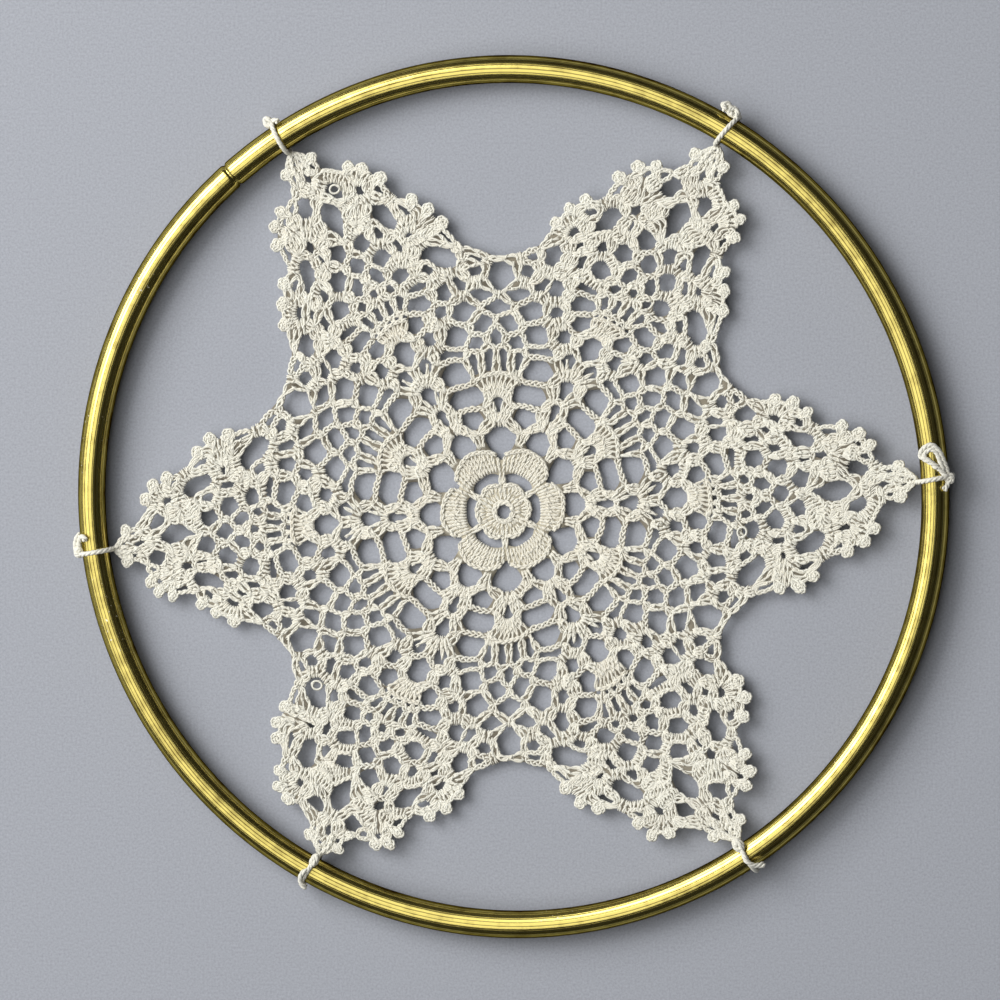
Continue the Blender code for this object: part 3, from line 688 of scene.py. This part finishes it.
# Tubes round many paths at once: round every point a ring of corners, at even angles about
# the path's direction; rings of one path are joined by quads and its ends are closed by
# drawing them in to a point's width.
def tubes(paths, tints, radius, sides):
    counts = np.array([len(path) for path in paths])
    points = np.vstack(paths)
    starts = np.concatenate([[0], np.cumsum(counts)[:-1]])
    number = np.arange(len(points))
    thread = np.repeat(np.arange(len(paths)), counts)
    before = np.where(number == starts[thread], number, number - 1)
    after = np.where(number == starts[thread] + counts[thread] - 1, number, number + 1)
    ahead = points[after] - points[before]
    ahead /= np.maximum(np.linalg.norm(ahead, axis=1), 1e-9)[:, None]
    side = np.cross(np.array([0.0, 0.0, 1.0]), ahead)
    side /= np.maximum(np.linalg.norm(side, axis=1), 1e-6)[:, None]
    up = np.cross(ahead, side)
    last = (number == before) | (number == after)
    size = np.where(last, 0.35, 1.0) * radius
    angles = np.arange(sides) * tau / sides
    ring = (side[:, None] * np.cos(angles)[None, :, None]
            + up[:, None] * np.sin(angles)[None, :, None]) * size[:, None, None]
    corners = (points[:, None] + ring).reshape(-1, 3)
    run = np.linalg.norm(points - points[before], axis=1)
    run = np.cumsum(run)
    run -= run[starts][thread]
    here = number[after != number]
    i = np.arange(sides)
    j = (i + 1) % sides
    quads = np.stack([here[:, None] * sides + i, here[:, None] * sides + j,
                      (here[:, None] + 1) * sides + j, (here[:, None] + 1) * sides + i], axis=2)
    turn = np.stack([i, i + 1, i + 1, i], axis=1) / sides
    lengths = np.stack([run[here], run[here], run[here + 1], run[here + 1]], axis=1)
    coordinates = np.stack([np.repeat(lengths[:, None], sides, axis=1),
                            np.repeat(turn[None], len(here), axis=0)], axis=3)
    nearEnds = starts[:, None] * sides + i[::-1]
    farEnds = (starts + counts - 1)[:, None] * sides + i
    coordinates = np.vstack([coordinates.reshape(-1, 2),
                             np.zeros((2 * sides * len(paths), 2))])
    tint = np.repeat(np.asarray(tints)[thread], sides)
    return corners, [quads.reshape(-1, 4), np.vstack([nearEnds, farEnds])], coordinates, tint


outlines = laceOutlines(-stitches["gapsIn"])
bands = laceBands(outlines)
print("lace: %d gaps, %d bands" % (len(outlines) - 1, len(bands)))

skeins = [Skein() for _ in range(lace["points"] + 1)]


# The point that a place belongs to, by its direction rounded to a sixth, or the middle.
def skeinAt(place):
    if np.hypot(*place) < stitches["middleTo"]:
        return skeins[-1]
    number = round((math.degrees(math.atan2(place[1], place[0])) - lace["turn"]) / 60)
    return skeins[number % lace["points"]]


# The thread is deeper in colour near the middle, by distance.
def tintAt(place):
    reach = np.hypot(*place)
    return float(np.interp(reach, stitches["tintAt"], stitches["tints"]))


# The line from one place to another at the post's own step, kept off both by a margin.
def lineBetween(start, end, margin=0.3):
    gap = max(np.hypot(*(end - start)), 2.5 * margin)
    count = max(4, int(gap / stitches["step"]) + 1)
    share = np.linspace(margin / gap, 1 - margin / gap, count)[:, None]
    return start + (end - start) * share


# Fans of posts that stand on one stitch or arch: each goes from a foot to a head, both wide
# and bowed, in the chart's millimetres; sides as for the gaps.
Fan = namedtuple("Fan", "axis x0 y0 wide0 x1 y1 wide1 bow count tint side")
fans = [
    Fan("arm", 0.0, 2.9, 2.2, 0.0, 5.5, 4.6, 0.1, 4, 0.45, "middle"),
    Fan("arm", 0.0, 5.3, 3.6, 0.0, 8.0, 6.2, 1.7, 6, 0.45, "middle"),
    Fan("arm", 0.0, 10.9, 10.2, 0.0, 18.1, 14.0, 3.9, 14, 0.5, "middle"),
    Fan("notch", 0.0, 5.0, 0.8, 0.0, 11.4, 1.0, 0.0, 2, 0.4, "middle"),
    Fan("arm", 4.6, 17.9, 1.2, 5.5, 23.3, 3.6, 0.2, 3, 0.4, "both"),
    Fan("arm", 1.0, 24.5, 1.0, 3.5, 31.0, 4.0, 0.4, 4, 0.35, "both"),
    Fan("arm", 0.9, 32.8, 1.0, 4.1, 37.8, 3.8, 0.3, 3, 0.3, "both"),
    Fan("arm", 1.6, 40.4, 1.2, 6.0, 45.0, 3.8, 0.3, 3, 0.3, "both"),
    Fan("arm", 0.0, 41.0, 1.2, 0.0, 47.4, 3.2, 0.2, 3, 0.3, "middle"),
    Fan("arm", 0.0, 55.0, 3.6, 0.0, 61.4, 10.6, 1.2, 8, 0.5, "middle"),
    Fan("notch", 0.9, 24.7, 1.0, 3.3, 30.6, 3.8, 0.4, 4, 0.35, "both"),
    Fan("notch", 0.0, 32.0, 2.6, 0.0, 38.8, 12.0, 2.4, 9, 0.4, "middle"),
]


# A foot or head at a share from -1 to 1 of its width: its middle bulges by the bow, as one
# less the share to a power, in the direction in which the fan opens.
def fanPlaces(fan, shares):
    foot, head = np.array([fan.x0, fan.y0]), np.array([fan.x1, fan.y1])
    onward = (head - foot) / np.hypot(*(head - foot))
    sideways = np.array([onward[1], -onward[0]])
    drop = abs(shares[:, None]) ** 2.4 * onward
    feet = foot + shares[:, None] * sideways * fan.wide0 / 2 - drop * fan.bow * 0.3
    heads = head + shares[:, None] * sideways * fan.wide1 / 2 - drop * fan.bow
    return feet, heads


claims = []


# A fan in every point: posts from feet to heads, and a crown of chain over a bowed one.
def workFan(fan):
    shares = np.linspace(-1, 1, fan.count)
    for number in range(lace["points"]):
        direction = axisDirection(fan.axis, number)
        skein = skeins[-1] if fan.y1 < 20 else skeins[
            number if fan.axis == "arm" else (number + (fan.count % 2)) % lace["points"]]
        for mirror in (1, -1) if fan.side == "both" else (1,):
            feet, heads = (places * (mirror, 1) for places in fanPlaces(fan, shares))
            claims.append(stretched(toLace(np.vstack([feet, heads[::-1]]), direction)))
            close = fan.y1 < 20 and fan.count > 3
            for foot, head in zip(feet, heads):
                head = head + (head - foot) * (0.05 * chance.normal() if close else 0.0)
                path = stretched(toLace(lineBetween(foot, head, 0.05), direction))
                skein.post(path, fan.tint, 0.30, chance.uniform(-0.10, 0.10), 0.5,
                           chance.uniform(2.6, 3.8) if close else None)
            if fan.bow > 1 and fan.count > 5:
                crown = fanPlaces(fan, np.linspace(-1, 1, 3 * fan.count))[1] * (mirror, 1)
                skein.chain(stretched(toLace(crown, direction)), fan.tint, 0.42, 0.2)


# The way that posts stand at a place: outwards from the middle, and in a point along it.
def outwardsAt(place):
    reach = np.hypot(*place)
    direction = place / reach
    if reach > stitches["pointFrom"]:
        turn = math.degrees(math.atan2(place[1], place[0])) - lace["turn"]
        direction = compass(lace["turn"] + 60 * round(turn / 60))
    return direction


# A band's stitches: a chain where it is narrow, posts side by side where it runs the way
# that posts stand, with a chain of heads over three or more, and posts from side to side
# under such a chain where it runs across that way and is wide enough.
def workBand(band):
    left, right, first, last, owners = band
    wide = np.percentile(np.hypot(*(left - right).T), 60)
    middle = (left + right) / 2
    place = middle[len(middle) // 2]
    if np.hypot(*place) < stitches["bandsFrom"] or any(
            within(place[None], claim)[0] for claim in claims):
        return
    heading = last - first
    upright = abs(heading @ outwardsAt(place)) / (np.hypot(*heading) + 1e-9)
    if 0 in owners:
        kind = ("across" if wide > stitches["rimAcross"]
                else "posts" if wide > stitches["rimPosts"] else "chain")
    elif wide < stitches["chainUpTo"]:
        kind = "posts" if upright > stitches["uprightOne"] else "chain"
    elif upright > stitches["upright"] and wide < stitches["postsUpTo"]:
        kind = "posts"
    else:
        kind = "across" if wide > stitches["acrossFrom"] else "chain"
    beyond, shares = (0.75, (1.0, 1.0)) if kind == "across" else (1.1, stitches["shares"])
    if heading @ outwardsAt(place) < 0:
        shares = shares[::-1]
    a, b, length = evenBand(left, right, first, last, stitches["step"], beyond, shares)
    middle = (a + b) / 2
    skein, tint = skeinAt(place), tintAt(place)
    lift = chance.uniform(-0.12, 0.12)
    if kind == "across":
        count = max(1, int(round(length / stitches["postWide"])))
        spots = (np.arange(count) + 0.5) / count * (len(a) - 1)
        low = np.minimum(spots.astype(int), len(a) - 2)
        part = (spots - low)[:, None]
        starts, ends = (side[low] + (side[low + 1] - side[low]) * part for side in (a, b))
        for start, end in zip(starts, ends):
            skein.post(lineBetween(start, end), tint, lift=lift + chance.uniform(-0.08, 0.08))
        if count > 3:
            farSide = a if np.hypot(*a.mean(axis=0)) > np.hypot(*b.mean(axis=0)) else b
            skein.chain(farSide + (middle - farSide) * (1.1 / max(wide, 2.4)), tint, 0.42,
                        lift + 0.15)
    elif kind == "chain":
        skein.chain(middle, tint, float(np.clip(wide / 2 - 0.45, 0.48, 0.72)), lift)
    else:
        count = max(1, int(round(wide / stitches["postWide"])))
        width = np.hypot(*(a - b).T)
        room = np.clip(1 - stitches["postWide"] / np.maximum(width, 0.1), 0.05, 1)[:, None]
        taper = np.interp(np.linspace(0, 1, len(a)), (0, 0.6), (0.6, 1))[:, None]
        room = room * (taper if heading @ outwardsAt(place) > 0 else taper[::-1])
        for fraction in (np.linspace(-0.5, 0.5, count) if count > 1 else (0.0,)):
            skein.post(middle + (b - a) * fraction * room, tint, stitches["postOpen"]
                       if count > 1 else 0.4, lift + chance.uniform(-0.08, 0.08))


for fan in fans:
    workFan(fan)
for band in bands:
    workBand(band)

# The ring of chain in the very middle.
around = np.linspace(0, tau, 29)
for reach in (2.55, 2.9):
    skeins[-1].chain(reach * np.column_stack([np.cos(around), np.sin(around)]), 0.4, 0.4, 0.2)

picot = {"foot": 3.1, "loop": 1.25, "long": 1.12, "open": 0.52, "inner": 0.55, "back": 0.3}

# Picots: at each bead of the edge a loop of chain that leaves its foot, goes round and comes
# back to it, and a smaller loop that fills its middle.
half = np.array([(edge.x, edge.y) for edge in edges])
slope = np.gradient(half, axis=0)
outward = np.column_stack([-slope[:, 1], slope[:, 0]]) / np.hypot(*slope.T)[:, None]
for number in range(lace["points"]):
    for edge, bead, out in zip(edges, half, outward):
        if not edge.bead:
            continue
        for mirror in (1, -1):
            angle = np.radians(np.linspace(-155, 155, 13))[:, None]
            side = np.array((out[1], -out[0]))
            grown = picot["loop"] + 0.12 * chance.normal()
            centre = bead - out * picot["back"] + 0.15 * chance.normal(size=2)
            loop = centre + grown * (picot["long"] * out * np.cos(angle) + side * np.sin(angle))
            foot = bead - out * picot["foot"]
            path = np.vstack([foot, loop, foot]) * (mirror, 1)
            turn = np.linspace(0, tau, 9)[:, None] + chance.uniform(0, tau)
            middle = centre + picot["inner"] * (out * np.cos(turn) + side * np.sin(turn))
            direction = axisDirection("arm", number)
            skeins[number].chain(stretched(toLace(path, direction)), 0.15, picot["open"], 0.1)
            skeins[number].chain(stretched(toLace(middle * (mirror, 1), direction)), 0.15,
                                 0.28, 0.15)

# Where a string holds it, each point's edge is gathered: chains from both sides of its end
# draw together towards the string, along the square of the share of the way.
tip = {"end": (0.0, 120.2), "feet": ((-4.4, 113.2), (-1.9, 110.6), (2.1, 111.0), (4.4, 113.4)),
       "bow": 0.9, "open": 0.42}
for number in range(lace["points"]):
    for foot in np.array(tip["feet"]):
        foot = foot + 0.4 * chance.normal(size=2)
        share = np.linspace(0, 1, 14)[:, None]
        path = foot + (np.array(tip["end"]) - foot) * share
        path[:, 0] += np.sign(foot[0]) * tip["bow"] * np.sin(np.pi * share[:, 0])
        skeins[number].chain(stretched(toLace(path, axisDirection("arm", number))), 0.2,
                             tip["open"] * np.interp(share[:, 0], (0, 1), (1, 0.6)),
                             chance.uniform(0, 0.4))

# Loose rings of thread that lie on the lace: the point's number, and the chart's place.
looseRings = [(2, 5.5, 103.5), (0, 10.0, 69.8), (4, 23.0, 69.5)]
for number, x, y in looseRings:
    turn = np.linspace(-0.4, tau + 0.5, 22)[:, None]
    reach = 1.3 + 0.05 * turn
    ring = np.hstack([x + reach * np.cos(turn), y + reach * 0.9 * np.sin(turn)])
    skeins[number].keep(stretched(toLace(ring, axisDirection("arm", number))), 0.9, 0.2)

names = [pull.name for pull in pulls]
for number, skein in enumerate(skeins):
    name = "lace_" + (names[number] if number < lace["points"] else "middle")
    corners, faces, coordinates, tint = tubes(
        skein.paths, skein.tints, stitches["threadRadius"], stitches["sides"])
    piece = makePiece(name, corners, faces, cotton, coordinates, tint)
    print(name, len(skein.paths), "strands", len(faces[0]) * 2, "triangles")

# The ground: a thin sheet at the middle of the lace's thickness, with its gaps a little
# larger.  Crochet has no such sheet; it stands in for the shade between the threads.
ground = {
    "thick": 0.12, "back": 0.5, "flat": (0.233, 0.206),
    "shadeFrom": 17.6, "shadeTo": 18.6, "shades": (0.0, 0.85),   # paler under the petals
}
shadedFinish = dict(cottonFinish, pale=rgb(0.56, 0.51, 0.38), deep=rgb(0.13, 0.11, 0.08))
shadedCotton = makeCotton("shadedCotton", shadedFinish)


# Top and bottom of the sheet are the kept triangles; an edge that only one of them has is
# the rim of a gap and gets a wall.
def sheetMesh(outlines, thick):
    flat, faces, owner = triangulated(outlines)
    owners = owner[faces]
    faces = faces[~(owners == owners[:, :1]).all(axis=1)]
    centres = flat[faces].mean(axis=1)
    faces = faces[within(centres, outlines[0]) & ~np.any(
        [within(centres, outline) for outline in outlines[1:]], axis=0)]
    a, b, c = (flat[faces[:, i]] for i in range(3))
    doubled = (b[:, 0] - a[:, 0]) * (c[:, 1] - a[:, 1]) - (b[:, 1] - a[:, 1]) * (c[:, 0] - a[:, 0])
    faces[doubled < 0] = faces[doubled < 0][:, ::-1]
    steps = np.vstack([faces[:, [0, 1]], faces[:, [1, 2]], faces[:, [2, 0]]])
    count = len(flat)
    keys = steps[:, 0] * count + steps[:, 1]
    rim = steps[~np.isin(keys, steps[:, 1] * count + steps[:, 0])]
    middle = laceHeight(flat[:, 0], flat[:, 1])
    points = np.vstack([np.column_stack([flat, middle + thick / 2]),
                        np.column_stack([flat, middle - thick / 2])]) + laceOffset
    walls = np.column_stack([rim[:, 0], rim[:, 0] + count, rim[:, 1] + count, rim[:, 1]])
    return points, [np.vstack([faces, faces[:, ::-1] + count]), walls], abs(doubled).sum() / 2


points, faces, area = sheetMesh(laceOutlines(ground["back"], 0.5), ground["thick"])
print("ground: %.5f square metres" % (area * mm * mm))
reach = np.hypot(*(points - laceOffset)[:, :2].T)
shade = np.interp(reach, (ground["shadeFrom"], ground["shadeTo"]), ground["shades"])
groundPiece = makePiece("lace_ground", points, faces, shadedCotton,
                        np.zeros((sum(f.size for f in faces), 2)), shade)
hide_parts("doily")
area * mm * mm

brassRing = {
    "outside": 254.0, "tube": 8.0, "height": 5.7,
    "around": 360, "section": 32,
    "seamAt": 131.0, "seamDeep": 0.55, "seamWide": 0.45,
    "seamClose": 0.35, "seamSteps": 8, "seamSkips": 4,      # finer steps beside the seam
}


# The ring: a circle of the tube's radius carried round the upright axis, drawn in at its
# seam by a bell curve of the distance from it.
def makeRing(ring):
    tubeRadius = ring["tube"] / 2
    ringRadius = ring["outside"] / 2 - tubeRadius
    seam = math.radians(ring["seamAt"])
    skips = ring["seamSkips"]
    lengths = np.linspace(0, tau * ringRadius, ring["around"] + 1)[skips:-skips]
    close = np.arange(ring["seamSteps"]) * ring["seamClose"]
    lengths = np.concatenate([close, lengths, tau * ringRadius - close[:0:-1]])
    near = np.minimum(lengths, tau * ringRadius - lengths)
    theta = seam + (lengths / ringRadius)[:, None]
    phi = (np.arange(ring["section"]) * tau / ring["section"])[None]
    radius = tubeRadius - ring["seamDeep"] * np.exp(-(near / ring["seamWide"]) ** 2)[:, None]
    out = ringRadius + radius * np.cos(phi)
    points = np.stack([out * np.cos(theta), out * np.sin(theta),
                       ring["height"] + radius * np.sin(phi)], axis=2).reshape(-1, 3)
    i, j = np.meshgrid(np.arange(len(lengths)), np.arange(ring["section"]), indexing="ij")
    i2, j2 = (i + 1) % len(lengths), (j + 1) % ring["section"]
    wide = ring["section"]
    quads = np.stack([i * wide + j, i2 * wide + j, i2 * wide + j2, i * wide + j2], axis=2)
    here, there = lengths[i], np.append(lengths, tau * ringRadius)[i + 1]
    coordinates = np.stack([np.stack([here, there, there, here], axis=2),
                            np.stack([j, j, j + 1, j + 1], axis=2) / wide], axis=3)
    return points, [quads.reshape(-1, 4)], coordinates.reshape(-1, 2)


brassFinish = {
    "bright": rgb(0.77, 0.64, 0.18),
    "grazingShade": rgb(0.07, 0.06, 0.025),            # painted shade: near-black tint of the reflections seen along its surface
    "dullAndShade": rgb(0.11, 0.072, 0.016),
    "dried": rgb(0.80, 0.76, 0.60),
    "roughness": 0.20,
    "stainScale": 220.0, "patchScale": 18.0, "dropScale": 1100.0,
    "streaksRound": 11.0, "linesRound": 24.0,     # round the tube
    "darkBelow": 6.6, "brightAbove": 8.4,         # heights between which painted shade darkens it
    "darkShare": 0.6,                             # and how far the painted shade goes
}


# Brass: drawn lengthwise, so its streaks are a cloud stretched along the tube, with matt pale
# spots where water has dried.  It is painted darker low down, a painted shade in place of the
# dark room that the sides of a real ring reflect; its edge tint is painted shade as well.
def makeBrass(name, finish):
    paint = Paint(name)
    place = paint.node("ShaderNodeUVMap", {"uv_map": "thread"})
    stretch = paint.node("ShaderNodeMapping", None, {
        "Vector": paint.wire(place), "Scale": (0.008, finish["streaksRound"], 1.0)})
    streak = paint.noise(paint.wire(stretch), 1.0, 2.0, 0.5)
    turn = paint.wire(paint.node("ShaderNodeSeparateXYZ", None,
                                 {"Vector": paint.wire(place)}), 1)
    spot = paint.wire(paint.node("ShaderNodeTexCoord"), 3)
    stain = paint.noise(spot, finish["stainScale"], 5.0, 0.6)
    wave = (turn * (tau * finish["linesRound"]) + streak * 5 + stain * 1.5).sine() * 0.5 + 0.5
    line = wave.between(0.70, 1.0)
    high = paint.wire(paint.node("ShaderNodeSeparateXYZ", None, {"Vector": spot}), 2)
    # Painted shade: the colour goes dark below these heights, for the dark reflections of its
    # sides.
    edge = 1 - high.between(finish["darkBelow"] * mm, finish["brightAbove"] * mm)
    wornAndShade = ((stain * 0.7 + streak * 0.5).between(0.56, 0.88) * 0.7 + line * 0.8
            + edge * finish["darkShare"]).between(0.0, 1.0)
    where = paint.noise(spot, finish["patchScale"], 1.0).between(0.60, 0.64)
    drop = paint.noise(spot, finish["dropScale"], 1.0).between(0.70, 0.75) * where
    paint.set(Base_Color=paint.mix(drop, paint.mix(wornAndShade, finish["bright"], finish["dullAndShade"]),
                                   finish["dried"]),
              Roughness=wornAndShade * 0.12 + drop * 0.3 + finish["roughness"])
    paint.shader.inputs["Metallic"].default_value = 1.0
    # Painted shade: a near-black edge tint darkens the reflections seen along the tube.
    paint.shader.inputs["Specular Tint"].default_value = finish["grazingShade"]
    paint.bump(streak + line * -0.3 + stain * 0.1, 0.3, 0.0002)
    return paint.material


brass = makeBrass("drawnBrass", brassFinish)
points, faces, coordinates = makeRing(brassRing)
ringPiece = makePiece("brass_ring", points, faces, brass, coordinates)
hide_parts("hoop")
print("ring:", len(points), "points")

# The ties: (across, out, height) from the ring's line, as the solids hold them.
string = {
    "strandRadius": 0.42, "open": 0.33, "twist": 4.6, "strands": 3,
    "wrapRadius": 5.1, "lowest": 0.82,
    "offTube": 0.05,                          # least gap between a strand and the ring
    "sides": 8, "tint": 0.2,
    "wrapSteps": 61, "knotTurns": 3, "knotSteps": 72,
}
Tie = namedtuple("Tie", "name angle drift knot size tails")
ties = [
    Tie("right", 2.9, -1.5, (0.0, 4.6, 8.4), (3.4, 2.8, 2.6), [
        ((-0.6, 4.4, 8.6), (-3.2, 3.9, 8.9), (-5.6, 3.2, 9.6), (-8.0, 2.3, 10.3),
         (-9.9, 0.3, 10.9), (-8.9, -2.2, 10.8), (-6.9, -3.2, 10.2), (-5.6, -1.6, 10.6),
         (-4.2, 0.6, 10.6), (-2.2, 2.6, 9.9), (-0.4, 4.0, 9.2)),
        ((-2.2, 3.2, 9.4), (-5.2, 2.3, 10.0), (-7.6, 1.5, 10.5), (-8.6, 0.1, 10.9),
         (-7.8, -1.6, 10.7), (-6.4, -1.9, 10.5), (-5.2, -0.5, 10.6), (-3.2, 1.6, 10.3)),
        ((0.6, 4.4, 8.6), (2.0, 3.8, 8.8), (3.2, 2.9, 9.4))]),
    Tie("upper_right", 58.85, 1.8, (-1.2, 5.6, 7.6), (4.8, 3.2, 3.0), [
        ((-1.6, 5.8, 7.6), (-3.4, 6.9, 7.9), (-4.6, 6.0, 8.5), (-3.0, 5.0, 8.9))]),
    Tie("upper_left", 122.7, 0.8, (-0.3, 5.4, 7.6), (3.0, 3.8, 3.0), [
        ((0.2, 5.2, 7.8), (1.6, 4.9, 8.2), (2.6, 3.9, 8.8))]),
    Tie("left", 187.6, -0.4, (0.6, 4.4, 8.6), (3.4, 2.8, 2.6), [
        ((1.6, 4.3, 8.6), (3.6, 3.8, 8.8), (5.0, 2.6, 9.8), (3.8, 1.3, 10.6)),
        ((0.4, 5.2, 8.2), (2.8, 5.2, 8.3), (4.9, 4.3, 8.8), (5.6, 2.9, 9.4))]),
    Tie("lower_left", 241.3, 0.6, (-0.2, -3.7, 10.1), (2.6, 4.2, 2.4), [
        ((-0.4, -0.9, 10.4), (0.9, 0.9, 11.6), (0.6, 3.4, 10.6), (-1.6, 5.0, 9.0))]),
    Tie("lower_right", 303.9, 0.4, (-0.1, -3.8, 10.2), (3.4, 4.4, 2.6), [
        ((0.0, -1.0, 10.4), (0.2, 1.0, 11.6), (-0.8, 3.4, 10.6), (-3.2, 5.0, 9.0))]),
]


# Points beside the ring, (across, out, height), carried to a tie's direction.
def tiePlace(tie, points):
    points = np.asarray(points, dtype=float)
    ringRadius = (brassRing["outside"] - brassRing["tube"]) / 2
    outwards, across = compass(tie.angle), compass(tie.angle - 90)
    flat = points[:, :1] * across + (points[:, 1:2] + ringRadius) * outwards
    return np.column_stack([flat, points[:, 2]])


# A curve through a route's points: between two of them a cubic whose slope at each is half
# the way from the point before to the point after, read off at equal shares.
def smoothRoute(points, count):
    points = np.asarray(points, dtype=float)
    padded = np.vstack([2 * points[0] - points[1], points, 2 * points[-1] - points[-2]])
    places = np.linspace(0, len(points) - 1, count)
    first = np.minimum(places.astype(int), len(points) - 2)
    t = (places - first)[:, None]
    a, b, c, d = (padded[first + k] for k in range(4))
    return 0.5 * (2 * b + (c - a) * t + (2 * a - 5 * b + 4 * c - d) * t ** 2
                  + (3 * b - a - 3 * c + d) * t ** 3)


# Strands wound round a path: each is the path plus a circle in the plane of the path's side
# and up, turned by its length over the twist.
def plied(path, ups, strands, opening, twist, start=0.0):
    ahead = np.gradient(path, axis=0)
    ahead /= np.linalg.norm(ahead, axis=1)[:, None]
    side = np.cross(ahead, ups)
    side /= np.linalg.norm(side, axis=1)[:, None]
    up = np.cross(side, ahead)
    length = np.concatenate([[0], np.cumsum(np.linalg.norm(np.diff(path, axis=0), axis=1))])
    wound = []
    for strand in range(strands):
        phase = (tau * (length / twist + strand / strands) + start)[:, None]
        wound.append(path + opening * (side * np.cos(phase) + up * np.sin(phase)))
    return wound


# A strand kept out of the ring: where it would be nearer the tube's middle line than the
# two radii together, it is moved straight away from that line.
def clearOfTube(path):
    ringRadius = (brassRing["outside"] - brassRing["tube"]) / 2
    flat = path[:, :2] * (ringRadius / np.hypot(*path[:, :2].T))[:, None]
    away = path - np.column_stack([flat, np.full(len(path), brassRing["height"])])
    far = np.linalg.norm(away, axis=1)
    least = brassRing["tube"] / 2 + string["strandRadius"] + string["offTube"]
    return path + away * (np.maximum(least / far, 1) - 1)[:, None]


# A tie: plied strings along a circle round the tube that is flat where it meets the table,
# along each tail's route with its end frayed, and along three turns of a ball for the knot.
def makeTie(tie):
    turns = np.linspace(0, tau, string["wrapSteps"])
    out = -string["wrapRadius"] * np.cos(turns)
    high = brassRing["height"] + string["wrapRadius"] * np.sin(turns)
    high = np.maximum(high, string["lowest"])
    path = tiePlace(tie, np.column_stack([tie.drift * out / (2 * string["wrapRadius"]), out,
                                          high]))
    centre = tiePlace(tie, [(0, 0, brassRing["height"])])
    strands = plied(path, path - centre, string["strands"], string["open"], string["twist"])
    for tail in tie.tails:
        count = 6 * len(tail)
        route = tiePlace(tie, smoothRoute(tail, count))
        opening = string["open"] * np.interp(np.arange(count), (count - 7, count - 1), (1, 2))
        strands += plied(route, np.tile((0, 0, 1.0), (count, 1)), string["strands"],
                         opening[:, None], string["twist"], 1.0)
    turn = np.linspace(0, string["knotTurns"] * tau, string["knotSteps"])
    size = np.array(tie.size) / 2 - 0.6
    ball = np.column_stack([np.cos(turn) * np.cos(turn / 6 - 1.5), np.sin(turn),
                            np.cos(turn) * np.sin(turn / 6 - 1.5)]) * size + tie.knot
    ball = tiePlace(tie, ball)
    middle = tiePlace(tie, [tie.knot])
    strands += plied(ball, ball - middle + 1e-6, string["strands"], string["open"],
                     string["twist"])
    strands = [clearOfTube(strand) for strand in strands]
    corners, faces, coordinates, tint = tubes(
        strands, np.full(len(strands), string["tint"]), string["strandRadius"],
        string["sides"])
    piece = makePiece("tie_string_" + tie.name, corners, faces, cotton,
                      coordinates, tint)
    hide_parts("tie_" + tie.name)


for tie in ties:
    makeTie(tie)
print("ties:", len(ties))

studio = {
    "frameWide": 0.2871, "centre": (-0.0029, -0.0006),
    "cameraAway": 2.5, "lean": 10.9, "leanTo": 19.6,
    "floorPale": rgb(0.410, 0.427, 0.472), "floorShade": rgb(0.290, 0.303, 0.338),
    "keyPower": 17.0, "keyAt": (-0.95, 0.60, 1.05), "keySize": 1.0,
    "softPower": 60.0, "softAt": (-1.1, 0.25, 1.9), "softSize": 3.8,
    "sky": rgb(0.95, 0.97, 1.0), "skyStrength": 0.03,
    "floorHalf": 3, "sensor": 36.0,
}


# Floor: smooth grey-blue with a fine grain.
def makeFloor(settings):
    paint = Paint("paleFloor")
    spot = paint.wire(paint.node("ShaderNodeTexCoord"), 3)
    grain = paint.noise(spot, 1500.0, 4.0, 0.7)
    paint.set(Base_Color=paint.mix(grain.between(0.3, 0.7), settings["floorPale"],
                                   settings["floorShade"]), Roughness=0.6)
    mesh = bpy.data.meshes.new("floor")
    far = settings["floorHalf"]
    mesh.from_pydata([(-far, -far, 0), (far, -far, 0), (far, far, 0), (-far, far, 0)], [],
                     [(0, 1, 2, 3)])
    mesh.materials.append(paint.material)
    floor = bpy.data.objects.new("floor", mesh)
    bpy.context.scene.collection.objects.link(floor)


# A square lamp at a place, turned to face the middle.
def addLight(name, power, place, size):
    lamp = bpy.data.lights.new(name, "AREA")
    lamp.energy, lamp.size = power, size
    light = bpy.data.objects.new(name, lamp)
    light.location = place
    light.rotation_euler = (-Vector(place)).to_track_quat("-Z", "Y").to_euler()
    bpy.context.scene.collection.objects.link(light)


makeFloor(studio)
addLight("keyLight", studio["keyPower"], studio["keyAt"], studio["keySize"])
addLight("softLight", studio["softPower"], studio["softAt"], studio["softSize"])
world = bpy.data.worlds.new("studioSky")
world.use_nodes = True
world.node_tree.nodes["Background"].inputs["Color"].default_value = studio["sky"]
world.node_tree.nodes["Background"].inputs["Strength"].default_value = studio["skyStrength"]
bpy.context.scene.world = world
bpy.context.scene.view_settings.view_transform = "Standard"

# Camera: it leans from straight above, so that the ring is as much shorter one way as in
# the photograph, and its frame is as wide as the photograph's at the ring's middle height.
lens = bpy.data.cameras.new("camera")
lens.sensor_width = studio["sensor"]
lens.lens = studio["sensor"] * studio["cameraAway"] / studio["frameWide"]
camera = bpy.data.objects.new("camera", lens)
lean = math.radians(studio["lean"])
sideways = compass(studio["leanTo"])
back = Vector((sideways[0] * math.sin(lean), sideways[1] * math.sin(lean), math.cos(lean)))
target = Vector((studio["centre"][0], studio["centre"][1], brassRing["height"] * mm))
turn = Vector((0, 0, 1)).rotation_difference(back).to_matrix().to_4x4()
camera.matrix_world = Matrix.Translation(target + back * studio["cameraAway"]) @ turn
bpy.context.scene.collection.objects.link(camera)
bpy.context.scene.camera = camera
print("studio ready")
